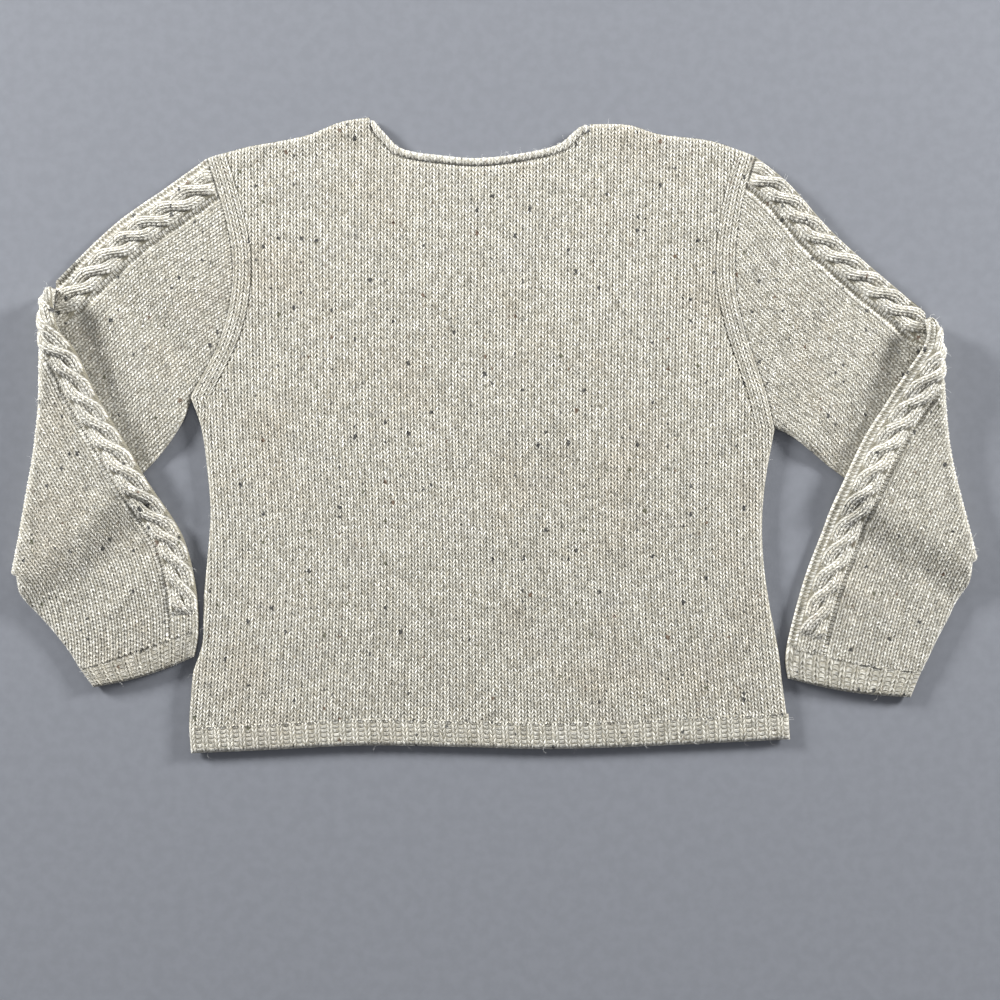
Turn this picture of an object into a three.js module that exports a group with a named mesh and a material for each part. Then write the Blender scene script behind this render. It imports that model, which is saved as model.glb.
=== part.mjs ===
// Cable knit sweater, laid flat with its back up and both sleeves folded over at the elbow.
// Units are millimetres, +Z is up, and the floor is z = 0. Seen from above, +X is to the right
// and +Y runs from the hem to the neck. The origin is below the middle of the outline.
// "Outer" is the sleeve's cabled edge, which comes down from the shoulder. "Under" is the edge
// that comes down from the underarm. "At" is a share along a line, and "across" from line to line.
import * as THREE from "three";

// Cloth
const WALL = 3; // thickness of the knitted cloth
const SEAM_GAP = 0.3; // between pieces, and between layers that touch
const ARMHOLE_GAP = 0.8; // between a sleeve and the body, whose edges have unlike facets
const BACK_LEVEL = WALL + SEAM_GAP; // underside of the upper layer
const LAID = BACK_LEVEL + WALL; // two layers lying on each other
const EDGE_ROUND = 5; // how far in from an edge the cloth reaches its full thickness
const EDGE_STEPS = [0, 1.2, EDGE_ROUND]; // distances from an edge that carry points
const EDGE_THICKNESS = 0.3; // share of the thickness left at the very edge

// Body
const BODY_SWELL = 1.6; // how far the back lifts off the front in the middle
const BODY_ROWS = { below: 5, above: 11 }; // rows below and above the underarm
const BOW_REACH = 0.3; // share of the width over which an armhole's curve shapes the body
const SHOULDER_RIDGE = { from_edge: 11, height: 0.9 };
const SHOULDER_TROUGH = { from_edge: 27, height: -1.3 };

// Ribs, one by one
const HEM_RIB = { height: 25, pitch: 12.1, relief: 1.2, plain_columns: 16 };
const CUFF_RIB = { pitch: 12, relief: 1.2 };
const NECK_EDGE = { width: 7, roll: 1.2, steepest: 1.6 };

// Cables: two mirrored ropes run down the middle line of each sleeve, with purl gutters
// between and beside them
const ROPE = { width: 23, height: 2.8, pitch: 26, lift: 0.3 };
const LADDER = { width: 9, depth: 0.8 }; // the purl gutter between the two ropes
const GUTTER = { width: 5.5, depth: 0.8 }; // the purl gutter beside each rope
const ROPE_STEP = ROPE.pitch / 4;
const ROPE_FADE = 22; // the rope flattens over this length where the fold presses it
const PLAIN_SHARES = [0.17, 0.34, 0.5, 0.67, 0.84]; // points across the plain cloth beside the cable

// Sleeve fold
const FOLD_TURNS = 6; // facets round the bend
const FOLD_LIFT = 5; // how much higher the fold stands at its outer end
const LIFT_REACH = { full: 25, none: 95 }; // distances from the outer edge
const DROP = 42; // past the layer below, the folded part comes down to the floor over this
const FOLD_BOW = 7; // the fold line curves towards the body
const CUFF_BOW = 4;
const EDGE_DIVISIONS = 400; // steps in which a sleeve's edge is measured

// Side edges of the body from the hem seam to the underarm
const SIDES = [
  { y: -283.7, left: -297.3, right: 286.0 },
  { y: -244.0, left: -297.8, right: 280.3 },
  { y: -221.6, left: -290.5, right: 277.9 },
  { y: -200.3, left: -284.2, right: 274.5 },
  { y: -163.4, left: -283.2, right: 267.2 },
  { y: -119.8, left: -279.4, right: 261.4 },
  { y: -78.1, left: -276.4, right: 260.4 },
  { y: -38.3, left: -278.9, right: 264.3 },
  { y: 7.3, left: -285.3, right: 272.1 },
  { y: 37.3, left: -295.4, right: 272.6 },
];

// How far each armhole seam bows into the body from a straight line, from shoulder to underarm
const ARMHOLES = [
  { share: 0.0, left: 0.0, right: 0.0 },
  { share: 0.12, left: 11.0, right: 11.5 },
  { share: 0.25, left: 21.5, right: 20.5 },
  { share: 0.37, left: 29.0, right: 26.0 },
  { share: 0.5, left: 32.0, right: 27.0 },
  { share: 0.65, left: 30.0, right: 21.0 },
  { share: 0.78, left: 22.5, right: 12.0 },
  { share: 0.88, left: 13.0, right: 5.0 },
  { share: 1.0, left: 0.0, right: 0.0 },
];

// Lower edge of the hem, from left to right
const HEM = [
  { x: -295.4, y: -309.0 },
  { x: -225.0, y: -306.0 },
  { x: -130.0, y: -301.5 },
  { x: -20.0, y: -303.2 },
  { x: 40.0, y: -304.8 },
  { x: 115.0, y: -303.4 },
  { x: 287.5, y: -295.5 },
];

// Upper outline, from left to right: a shoulder, the neck, a shoulder
const LEFT_SHOULDER = [
  { x: -278.9, y: 270.1 },
  { x: -241.0, y: 280.8 },
  { x: -209.0, y: 286.6 },
  { x: -180.0, y: 293.0 },
  { x: -149.9, y: 305.1 },
  { x: -120.8, y: 309.9 },
];
const BACK_NECK = [
  { x: -120.8, y: 309.9 },
  { x: -108.2, y: 295.4 },
  { x: -91.7, y: 279.4 },
  { x: -51.9, y: 272.1 },
  { x: -14.0, y: 269.5 },
  { x: 34.4, y: 275.5 },
  { x: 63.5, y: 283.7 },
  { x: 82.0, y: 299.0 },
  { x: 92.6, y: 303.1 },
];
const FRONT_NECK = [
  { x: -120.8, y: 309.9 },
  { x: -108.2, y: 270.0 },
  { x: -91.7, y: 236.0 },
  { x: -51.9, y: 198.0 },
  { x: -14.0, y: 186.0 },
  { x: 34.4, y: 196.0 },
  { x: 63.5, y: 225.0 },
  { x: 82.0, y: 268.0 },
  { x: 92.6, y: 303.1 },
];
const RIGHT_SHOULDER = [
  { x: 92.6, y: 303.1 },
  { x: 130.5, y: 302.2 },
  { x: 159.6, y: 293.4 },
  { x: 211.0, y: 286.6 },
  { x: 252.7, y: 272.1 },
];

// Sleeves, a row for each section across the sleeve. The upper part runs from the armhole to
// the fold, and the folded part from the fold to the cuff's end.
const SLEEVES = {
  left: {
    inward: 1,
    ladder: "back", // the face whose edge carries the purl gutter between the ropes
    upper: [
      { section: "armhole", outer: [-278.9, 270.1], under: [-295.4, 37.3] },
      { section: "upper arm", outer: [-319.6, 241.0], under: [-306.0, 9.0] },
      { section: "mid arm", outer: [-365.2, 209.0], under: [-336.1, -30.6] },
      { section: "above elbow", outer: [-405.0, 172.2], under: [-397.2, -83.9] },
      { section: "fold", outer: [-427.3, 149.9], under: [-462.2, -136.3] },
    ],
    folded: [
      { section: "fold", outer: [-427.3, 149.9], under: [-462.2, -136.3] },
      { section: "elbow", outer: [-420.5, 106.2], under: [-460.3, -151.8] },
      { section: "below elbow", outer: [-404.0, 81.0], under: [-453.5, -163.4] },
      { section: "upper forearm", outer: [-385.6, 41.2], under: [-445.7, -172.2] },
      { section: "forearm", outer: [-356.5, -8.2], under: [-435.0, -183.8] },
      { section: "mid forearm", outer: [-329.3, -55.8], under: [-424.4, -196.4] },
      { section: "lower forearm", outer: [-303.1, -98.5], under: [-414.7, -209.0] },
      { section: "wrist", outer: [-290.5, -147.9], under: [-407.9, -219.7] },
      { section: "cuff seam", outer: [-288.0, -189.6], under: [-403.0, -227.5] },
      { section: "cuff end", outer: [-292.0, -214.9], under: [-390.4, -244.9] },
    ],
  },
  right: {
    inward: -1,
    ladder: "front",
    upper: [
      { section: "armhole", outer: [252.7, 272.1], under: [272.1, 7.3] },
      { section: "upper arm", outer: [286.6, 244.9], under: [293.0, -3.4] },
      { section: "mid arm", outer: [327.4, 199.3], under: [335.1, -37.3] },
      { section: "above elbow", outer: [373.9, 157.6], under: [398.2, -79.1] },
      { section: "fold", outer: [418.6, 120.8], under: [462.2, -122.7] },
    ],
    folded: [
      { section: "fold", outer: [418.6, 120.8], under: [462.2, -122.7] },
      { section: "elbow", outer: [413.7, 89.7], under: [460.3, -142.1] },
      { section: "below elbow", outer: [398.2, 62.6], under: [453.5, -154.7] },
      { section: "upper forearm", outer: [378.8, 31.5], under: [446.7, -166.4] },
      { section: "forearm", outer: [357.4, -2.4], under: [440.9, -179.0] },
      { section: "mid forearm", outer: [335.1, -50.0], under: [434.1, -191.6] },
      { section: "lower forearm", outer: [318.6, -93.6], under: [428.3, -203.2] },
      { section: "wrist", outer: [300.2, -143.1], under: [421.5, -217.8] },
      { section: "cuff seam", outer: [283.7, -208.1], under: [414.7, -231.3] },
      { section: "cuff end", outer: [285.2, -236.2], under: [405.0, -254.6] },
    ],
  },
};

const lerp = THREE.MathUtils.lerp;
const clamp = THREE.MathUtils.clamp;
const smoothstep = THREE.MathUtils.smoothstep;
const range = (count) => Array.from({ length: count + 1 }, (_, i) => i / count);

// A smooth curve through a table's rows, read at any value of its key column.
function readTable(rows, key, column, value) {
  const last = rows.length - 1;
  const k = clamp(
    rows.findIndex((row) => row[key] > value) - 1,
    0,
    last - 1,
  );
  const at = value >= rows[last][key] ? last - 1 : k;
  const slope = (i) => {
    const a = rows[Math.max(i - 1, 0)];
    const b = rows[Math.min(i + 1, last)];
    return (b[column] - a[column]) / (b[key] - a[key]);
  };
  const [a, b] = [rows[at], rows[at + 1]];
  const span = b[key] - a[key];
  const t = (value - a[key]) / span;
  const [t2, t3] = [t * t, t * t * t];
  return (
    a[column] * (2 * t3 - 3 * t2 + 1) +
    slope(at) * span * (t3 - 2 * t2 + t) +
    b[column] * (3 * t2 - 2 * t3) +
    slope(at + 1) * span * (t3 - t2)
  );
}

// The share of the full thickness that rounded cloth has at a distance from its edge.
function edgeRise(distance) {
  const inward = clamp(1 - distance / EDGE_ROUND, 0, 1);
  return lerp(EDGE_THICKNESS, 1, Math.sqrt(1 - inward * inward));
}

// Joins two chains of vertices that run side by side, each with its own spacing.
function zip(faces, left, right) {
  let i = 0;
  let j = 0;
  while (i < left.length - 1 || j < right.length - 1) {
    const leftNext = i < left.length - 1 ? left[i + 1].at : Infinity;
    const rightNext = j < right.length - 1 ? right[j + 1].at : Infinity;
    if (leftNext <= rightNext) {
      faces.push([left[i].index, right[j].index, left[i + 1].index]);
      i += 1;
    } else {
      faces.push([left[i].index, right[j].index, right[j + 1].index]);
      j += 1;
    }
  }
}

function signedVolume(points, faces) {
  const [a, b, c] = [new THREE.Vector3(), new THREE.Vector3(), new THREE.Vector3()];
  return faces.reduce((sum, [i, j, k]) => {
    a.fromArray(points[i]);
    b.fromArray(points[j]);
    c.fromArray(points[k]);
    return sum + a.dot(b.cross(c)) / 6;
  }, 0);
}

// A closed solid between an outer and an inner surface. Each surface is a list of lines side by
// side, { across, points: [{ at, place }] }, where across is the line's share at its first and
// at its last point. On a tube the last line joins the first.
function solidBetween(outer, inner, isTube) {
  const points = [];
  const faces = [];
  const indexed = (lines) =>
    lines.map((line) => ({
      across: line.across,
      chain: line.points.map(({ at, place }) => ({ at, index: points.push(place) - 1 })),
    }));
  const surfaces = [indexed(outer), indexed(inner)];
  if (isTube) surfaces.forEach((lines) => lines.push({ across: [1, 1], chain: lines[0].chain }));
  const [top, bottom] = surfaces;
  for (let k = 1; k < top.length; k++) zip(faces, top[k - 1].chain, top[k].chain);
  for (let k = 1; k < bottom.length; k++) zip(faces, bottom[k].chain, bottom[k - 1].chain);
  const rim = (lines, end) =>
    lines.map(({ across, chain }) => ({ at: across.at(end), index: chain.at(end).index }));
  zip(faces, rim(top, 0), rim(bottom, 0));
  zip(faces, rim(bottom, -1), rim(top, -1));
  if (!isTube) {
    zip(faces, bottom[0].chain, top[0].chain);
    zip(faces, top.at(-1).chain, bottom.at(-1).chain);
  }
  if (signedVolume(points, faces) < 0) faces.forEach((face) => face.reverse());
  const geometry = new THREE.BufferGeometry();
  geometry.setAttribute("position", new THREE.Float32BufferAttribute(points.flat(), 3));
  geometry.setIndex(faces.flat());
  geometry.computeVertexNormals();
  return geometry;
}

// Body outline
const hemY = (x) => readTable(HEM, "x", "y", x);
const seamY = (x) => hemY(x) + HEM_RIB.height;
const TIPS = { left: LEFT_SHOULDER[0], right: RIGHT_SHOULDER.at(-1) };

// How far the armhole seam stands into the body, at a share of its way from shoulder to underarm.
const armholeBow = (side, share) => readTable(ARMHOLES, "share", side, clamp(share, 0, 1));

// The body's edge at a height y: the side seam, and above the underarm a straight line to the
// shoulder with the armhole's bow beside it.
function bodyEdge(side, y) {
  const tip = TIPS[side];
  const [underX, underY] = SLEEVES[side].upper[0].under;
  if (y <= underY) return { x: readTable(SIDES, "y", side, y), bow: 0 };
  const share = (tip.y - y) / (tip.y - underY);
  return { x: lerp(tip.x, underX, share), bow: armholeBow(side, share) };
}

// A point of the body from its share across and its share of the way from the hem seam to the
// upper outline: x runs between the two edges, and y between the seam and the outline. The
// armhole's bow fades towards the middle.
function bodyPoint(across, up, outlineY) {
  const edgeAt = (side) => {
    const foot = seamY(SIDES[0][side]) + SEAM_GAP;
    return bodyEdge(side, lerp(foot, TIPS[side].y, up));
  };
  const [left, right] = [edgeAt("left"), edgeAt("right")];
  const fade = (share) => clamp(1 - share / BOW_REACH, 0, 1) ** 2;
  const x = lerp(left.x, right.x, across) + left.bow * fade(across) - right.bow * fade(1 - across);
  const footX = lerp(SIDES[0].left, SIDES[0].right, across);
  return [x, lerp(seamY(footX) + SEAM_GAP, outlineY, up)];
}

// Points along a neck's outline, with how far straight below it the neck edge reaches, and the
// seam's gap there. The first and last points stand an inset in from the shoulders.
function neckStations(neck, inset) {
  const yAt = (x) => readTable(neck, "x", "y", x);
  return neck.map((point, i) => {
    const x = clamp(point.x, neck[0].x + inset, neck.at(-1).x - inset);
    const steepness = Math.hypot(1, (yAt(x + inset) - yAt(x - inset)) / (2 * inset));
    const depth = NECK_EDGE.width * Math.min(steepness, NECK_EDGE.steepest);
    return { share: i / (neck.length - 1), x, y: yAt(x), depth, gap: SEAM_GAP * steepness };
  });
}

// The columns of a body panel, each with its share across, its outline height, and whether the
// outline is a shoulder.
function bodyColumns(neck) {
  const width = TIPS.right.x - TIPS.left.x;
  const share = (x) => (x - TIPS.left.x) / width;
  const shoulder = ({ x, y }) => ({ across: share(x), outlineY: y, isShoulder: true });
  const necks = neckStations(neck, SEAM_GAP).map(({ x, y, depth, gap }) => {
    return { across: share(x), outlineY: y - depth - gap, isShoulder: false };
  });
  const edges = EDGE_STEPS.slice(1).map((step) => step / width);
  const start = edges.map((across) => ({ across, outlineY: TIPS.left.y, isShoulder: true }));
  const end = edges.toReversed().map((across) => ({
    across: 1 - across,
    outlineY: TIPS.right.y,
    isShoulder: true,
  }));
  const left = LEFT_SHOULDER.map(shoulder);
  const right = RIGHT_SHOULDER.map(shoulder);
  return [left[0], ...start, ...left.slice(1), ...necks, ...right.slice(0, -1), ...end, right.at(-1)];
}

// Rows up a body panel, closer where the shoulder's edge rounds off and folds.
function bodyRows(length) {
  const nearEdge = [SHOULDER_TROUGH.from_edge, SHOULDER_RIDGE.from_edge, ...EDGE_STEPS.toReversed()];
  const underarm = (SIDES.at(-2).y - SIDES[0].y) / length;
  const top = 1 - (1.6 * nearEdge[0]) / length;
  const below = range(BODY_ROWS.below).map((share) => share * underarm);
  const above = range(BODY_ROWS.above).slice(1).map((share) => lerp(underarm, top, share));
  return [...below, ...above, ...nearEdge.map((distance) => 1 - distance / length)];
}

// The height of the soft ridge and trough that follow a shoulder.
function shoulderFold(distance) {
  return [SHOULDER_RIDGE, SHOULDER_TROUGH].reduce((sum, { from_edge, height }) => {
    const away = (distance - from_edge) / (0.4 * from_edge);
    return sum + height * Math.exp(-away * away);
  }, 0);
}

// The back or the front of the body. The back's outer surface is its top, the front's its underside.
function bodyPanel(neck, isBack) {
  const columns = bodyColumns(neck);
  const width = TIPS.right.x - TIPS.left.x;
  const length = TIPS.left.y - seamY(SIDES[0].left);
  const rows = bodyRows(length);
  const surface = (isOuter) =>
    columns.map(({ across, outlineY, isShoulder }) => ({
      across: [across, across],
      points: rows.map((up) => {
        const [x, y] = bodyPoint(across, up, outlineY);
        const fromSide = Math.min(across, 1 - across) * width;
        const side = across < 0.5 ? "left" : "right";
        const belowArmhole = smoothstep(SLEEVES[side].upper[0].under[1] - y, -10, 15);
        const fromTop = isShoulder ? (1 - up) * length : EDGE_ROUND;
        const rise = Math.min(lerp(1, edgeRise(fromSide), belowArmhole), edgeRise(fromTop));
        const swell = BODY_SWELL * Math.sin(Math.PI * across) * Math.sin(Math.PI * up);
        const fold = isShoulder ? shoulderFold((1 - up) * length) * Math.sin(Math.PI * across) : 0;
        if (isBack) {
          const z = BACK_LEVEL + swell + fold + (isOuter ? WALL * rise : 0);
          return { at: up, place: [x, y, isOuter ? z : Math.max(z, BACK_LEVEL)] };
        }
        return { at: up, place: [x, y, isOuter ? WALL * (1 - rise) : WALL] };
      }),
    }));
  return solidBetween(surface(true), surface(false), false);
}

// A rib band along the hem. The back's ribs are raised, and the front's lie flat on the floor.
function hemRib(isBack) {
  const [left, right] = [SIDES[0].left, SIDES[0].right];
  const corners = { left: HEM[0].x, right: HEM.at(-1).x };
  const width = right - left;
  const ribs = Math.round(width / HEM_RIB.pitch);
  const rows = [...EDGE_STEPS.map((step) => step / HEM_RIB.height), 1];
  const insets = EDGE_STEPS.slice(1, 2).map((step) => step / width);
  const shares = (count) => {
    const even = range(count).slice(1, -1);
    return [0, ...insets, ...even, ...insets.map((share) => 1 - share), 1];
  };
  const line = (isOuter) => (across) => ({
    across: [across, across],
    points: rows.map((up) => {
      const x = lerp(lerp(corners.left, left, up), lerp(corners.right, right, up), across);
      const y = lerp(hemY(x), seamY(lerp(left, right, across)), up);
      const fromSide = Math.min(across, 1 - across) * width;
      const rise = Math.min(edgeRise(fromSide), edgeRise(up * HEM_RIB.height));
      if (!isBack) return { at: up, place: [x, y, isOuter ? WALL * (1 - rise) : WALL] };
      const crest = HEM_RIB.relief * (0.5 - 0.5 * Math.cos(2 * Math.PI * ribs * across));
      return { at: up, place: [x, y, BACK_LEVEL + (isOuter ? (WALL + crest) * rise : 0)] };
    }),
  });
  const outer = shares(isBack ? 2 * ribs : HEM_RIB.plain_columns).map(line(true));
  return solidBetween(outer, shares(HEM_RIB.plain_columns).map(line(false)), false);
}

// The narrow rolled edge round the neck, as thick as a roll of the cloth.
function neckEdge(neck, level, roll) {
  const line = (isOuter) => (across) => ({
    across: [across, across],
    points: neckStations(neck, 2 * SEAM_GAP).map(({ share, x, y, depth }) => {
      const bulge = Math.sin(Math.PI * lerp(0.12, 0.88, across));
      const height = isOuter ? (WALL + roll) * bulge : 0;
      return { at: share, place: [x, y - depth * (1 - across), level + height] };
    }),
  });
  return solidBetween(range(5).map(line(true)), range(1).map(line(false)), false);
}

// Sleeve guides. Rows cross the sleeve from its outer edge to its under edge, and each row is
// found by its part and its share t of that part's sections.
function sleeveGuides(side) {
  const { inward, ladder, upper, folded } = SLEEVES[side];
  const curve = (rows, edge) =>
    new THREE.SplineCurve(rows.map((row) => new THREE.Vector2(...row[edge])));
  const edges = {
    upper: { outer: curve(upper, "outer"), under: curve(upper, "under") },
    folded: { outer: curve(folded, "outer"), under: curve(folded, "under") },
  };
  Object.values(edges).forEach(({ outer }) => (outer.arcLengthDivisions = EDGE_DIVISIONS));
  const upperLength = edges.upper.outer.getLength();

  // A row: both ends, its length, the way the cable runs there, and how oblique the row is to it.
  function row(part, t, turn) {
    const outer = edges[part].outer.getPoint(t);
    const under = edges[part].under.getPoint(t);
    const chord = under.clone().sub(outer);
    const tangent = edges[part].outer.getTangent(clamp(t, 0.002, 0.998));
    const length = chord.length();
    const across = chord.divideScalar(length);
    const square = new THREE.Vector2(-across.y, across.x).multiplyScalar(inward);
    const level = new THREE.Vector2(inward, 0);
    const into = part === "upper" ? level.lerp(square, t).normalize() : square;
    const slant = 1 / Math.abs(tangent.cross(across));
    const before = part === "upper" ? 0 : upperLength;
    const along = before + edges[part].outer.getLengths()[Math.round(EDGE_DIVISIONS * t)];
    return { part, t, turn, outer, across, into, length, slant, tangent, along };
  }

  // How far a row bows towards the body at a share of its length.
  function bow({ part, t }, share) {
    const arch = Math.sin(Math.PI * clamp(share, 0, 1));
    if (part === "upper") return lerp(FOLD_BOW * arch, armholeBow(side, share), (1 - t) ** 2);
    return arch * lerp(FOLD_BOW * (1 - t) ** 2, CUFF_BOW, t);
  }

  function plan(row, distance) {
    const point = row.outer.clone().addScaledVector(row.across, distance);
    const clear = row.part === "upper" ? ARMHOLE_GAP * (1 - row.t) : 0;
    return point.addScaledVector(row.into, bow(row, distance / row.length) - clear);
  }

  // The height of the folded part's underside: on the layer below it, then down to the floor.
  const under = {
    from: new THREE.Vector2(...upper[2].under),
    to: new THREE.Vector2(...upper.at(-1).under),
  };
  const shoulderEdge = {
    from: new THREE.Vector2(...upper[2].outer),
    to: new THREE.Vector2(...upper.at(-1).outer),
  };
  const sideOf = ({ from, to }, point) =>
    (inward * to.clone().sub(from).cross(point.clone().sub(from))) / to.distanceTo(from);
  function restHeight(point) {
    const inside = 1 - smoothstep(sideOf(under, point), 0, DROP);
    const lift = 1 - smoothstep(sideOf(shoulderEdge, point), LIFT_REACH.full, LIFT_REACH.none);
    return inside * (LAID + 2 * SEAM_GAP + ROPE.height * lift + FOLD_LIFT * lift);
  }

  // A point of the sleeve at a height above or below the middle of its two layers. In the fold
  // it turns about an axis halfway between the upper part and the folded part.
  function place(row, distance, height) {
    const point = plan(row, distance);
    if (row.part === "upper" && row.turn === 0) return [point.x, point.y, LAID / 2 + height];
    const rest = restHeight(point);
    if (row.part === "folded" && row.turn === Math.PI) {
      return [point.x, point.y, rest + LAID / 2 - height];
    }
    const radius = rest / 2;
    const out = (radius - height) * Math.sin(row.turn);
    point.addScaledVector(row.into, -out);
    return [point.x, point.y, LAID / 2 + radius - (radius - height) * Math.cos(row.turn)];
  }
  return { edges, row, place, upperLength, ladder };
}

// The height of a rope at a distance across it, -1 to 1, and a length along it. Two strands
// wind round each other, half a turn for each crossing.
function ropeHeight(v, along) {
  const phase = (Math.PI * along) / ROPE.pitch;
  const strand = (turn) => {
    const away = v + 0.5 * Math.sin(phase + turn);
    return ROPE.lift * Math.cos(phase + turn) + Math.sqrt(Math.max(0, 0.25 - away * away));
  };
  return (ROPE.height * Math.max(0, strand(0), strand(Math.PI))) / (0.5 + ROPE.lift);
}

// The relief of the cable at a distance from the sleeve's outer edge.
function cableRelief(start, distance, along) {
  const across = distance - start;
  if (across >= 0 && across <= ROPE.width) return ropeHeight((2 * across) / ROPE.width - 1, along);
  if (across < 0) return -LADDER.depth * Math.sin((Math.PI * distance) / start);
  const past = across - ROPE.width;
  return past < GUTTER.width ? -GUTTER.depth * Math.sin((Math.PI * past) / GUTTER.width) : 0;
}

// The lines along one face of a sleeve, from beside its outer edge to beside its under edge: the
// cable's, those of the plain cloth, and those where the cloth rounds off.
function faceColumns(face, cableStart) {
  const rope = range(4).map((share) => cableStart + share * ROPE.width);
  const ladder = cableStart > 0 ? [EDGE_STEPS[1], cableStart / 2] : [EDGE_STEPS[1]];
  const gutter = [0.5, 1].map((share) => cableStart + ROPE.width + share * GUTTER.width);
  const near = [...ladder, ...rope.filter((distance) => distance > EDGE_STEPS[1]), ...gutter];
  const plainStart = gutter[1];
  return [
    ...near.map((distance) => ({ face, distance, cable: true })),
    ...PLAIN_SHARES.map((share) => ({ face, plainStart, share })),
    ...EDGE_STEPS.slice(1).toReversed().map((fromUnder) => ({ face, fromUnder })),
  ];
}

// The distance along a row from the outer edge that a column has.
function columnDistance(column, row) {
  const slanted = (distance) => distance * row.slant;
  if (column.fromUnder !== undefined) return row.length - column.fromUnder;
  if (column.distance !== undefined) return slanted(column.distance);
  return lerp(slanted(column.plainStart), row.length - EDGE_ROUND, column.share);
}

// Half the thickness of a flattened tube at a distance from either edge.
function halfThickness(distance, length) {
  const fromEdge = Math.min(distance, length - distance);
  const inward = clamp(1 - fromEdge / EDGE_ROUND, 0, 1);
  return (LAID / 2) * Math.sqrt(1 - inward * inward);
}

// How far round a tube a point is, at the first and last row: half a turn over the back face
// from the outer edge to the under edge, and half a turn back over the front face.
function aroundTube(face, distanceAt, rows) {
  return [rows[0], rows.at(-1)].map((row) => {
    const share = distanceAt(row) / row.length / 2;
    return face === "front" ? 1 - share : share;
  });
}

// The inner surface of a tube: a slit between the two layers, a wall in from each edge.
function innerLines(guides, rows) {
  const shares = [0, 0.3, 0.55, 0.75, 0.88, 1];
  const lines = [
    ...shares.map((share) => ({ share, face: "back" })),
    ...shares.toReversed().map((share) => ({ share, face: "front" })),
  ];
  return lines.map(({ share, face }) => {
    const distanceAt = (row) => lerp(WALL, row.length - WALL, share);
    const height = face === "back" ? SEAM_GAP / 2 : -SEAM_GAP / 2;
    return {
      across: aroundTube(face, distanceAt, rows),
      points: rows.map((row) => ({ at: row.at, place: guides.place(row, distanceAt(row), height) })),
    };
  });
}

// The share of the folded part's sections at which the sleeve ends and the cuff begins.
function cuffSeam(side) {
  const sections = SLEEVES[side].folded;
  const [seam, end] = sections.slice(-2).map((row) => new THREE.Vector2(...row.under));
  const halfGap = SEAM_GAP / seam.distanceTo(end);
  const last = sections.length - 1;
  return { sleeve: (last - 1 - halfGap) / last, cuff: (last - 1 + halfGap) / last };
}

function sleeveRows(guides, side) {
  const { edges, row } = guides;
  const ropeRows = (part, end, turn) => {
    const count = Math.round((edges[part].outer.getLength() * end) / ROPE_STEP);
    return range(count).map((share) => row(part, share * end, turn));
  };
  const upper = ropeRows("upper", 1, 0);
  const folded = ropeRows("folded", cuffSeam(side).sleeve, Math.PI);
  const bend = range(FOLD_TURNS)
    .slice(1, -1)
    .map((share) => row("folded", 0, Math.PI * share));
  const rows = [...upper, ...bend, ...folded];
  rows.forEach((each, i) => {
    const isEnd = i === 0 || i === rows.length - 1;
    const isBend = i >= upper.length - 1 && i <= upper.length + bend.length;
    const every = each.part === "upper" ? 3 : 2;
    each.at = i / (rows.length - 1);
    each.isPlainRow = isEnd || isBend || (each.part === "upper" ? i : i - upper.length) % every === 0;
  });
  return rows;
}

function sleeve(side) {
  const guides = sleeveGuides(side);
  const rows = sleeveRows(guides, side);
  const cableStart = (face) => (guides.ladder === face ? LADDER.width : 0);
  const back = faceColumns("back", cableStart("back"));
  const front = faceColumns("front", cableStart("front")).reverse();
  const outerEdge = { face: "back", distance: 0, edge: true };
  const underEdge = { face: "back", fromUnder: 0, edge: true };
  const columns = [outerEdge, ...back, underEdge, ...front];

  // The back face shows on the upper part, and the front face on the folded part.
  function relief(column, row, distance) {
    if (!column.cable) return 0;
    const fromOuter = distance / row.slant;
    const along = row.along + distance * row.across.dot(row.tangent);
    const isShown = column.face === (row.part === "upper" ? "back" : "front");
    if (!isShown) return 0;
    const toFold = guides.upperLength - along;
    const turned = (1 - Math.cos(row.turn)) / 2;
    const pressed = column.face === "back" ? smoothstep(toFold, 0, ROPE_FADE) : turned;
    const fromArmhole = smoothstep(row.along, 0, ROPE_FADE / 2);
    return pressed * fromArmhole * cableRelief(cableStart(column.face), fromOuter, along);
  }

  const isFine = (column, row) =>
    column.cable && column.face === (row.part === "upper" ? "back" : "front");
  const outer = columns.map((column) => ({
    across: aroundTube(column.face, (row) => columnDistance(column, row), rows),
    points: rows
      .filter((row) => row.isPlainRow || isFine(column, row))
      .map((row) => {
        const distance = columnDistance(column, row);
        const half = column.edge ? 0 : halfThickness(distance, row.length);
        const raised = half === 0 ? 0 : half + relief(column, row, distance);
        const height = column.face === "back" ? raised : -raised;
        return { at: row.at, place: guides.place(row, distance, height) };
      }),
  }));
  const inner = innerLines(guides, rows.filter((row) => row.isPlainRow));
  return solidBetween(outer, inner, true);
}

function cuff(side) {
  const guides = sleeveGuides(side);
  const rows = [0, 0.45, 0.8, 1].map((at) => {
    return { ...guides.row("folded", lerp(cuffSeam(side).cuff, 1, at), Math.PI), at };
  });
  const ribs = Math.round(rows[0].length / CUFF_RIB.pitch);
  const shares = range(2 * ribs).slice(1, -1);
  const columns = [
    ...range(6).map((share) => ({ share, face: "back" })),
    ...shares.toReversed().map((share) => ({ share, face: "front" })),
  ];
  const wave = (share) => CUFF_RIB.relief * (0.5 - 0.5 * Math.cos(2 * Math.PI * ribs * share));
  const outer = columns.map(({ share, face }) => ({
    across: aroundTube(face, (row) => share * row.length, rows),
    points: rows.map((row) => {
      const distance = share * row.length;
      const half = halfThickness(distance, row.length);
      const height = face === "back" ? half : -half - wave(share);
      const lip = row.at === 1 ? 0.8 : 1;
      return { at: row.at, place: guides.place(row, distance, height * lip) };
    }),
  }));
  return solidBetween(outer, innerLines(guides, rows), true);
}

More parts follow.
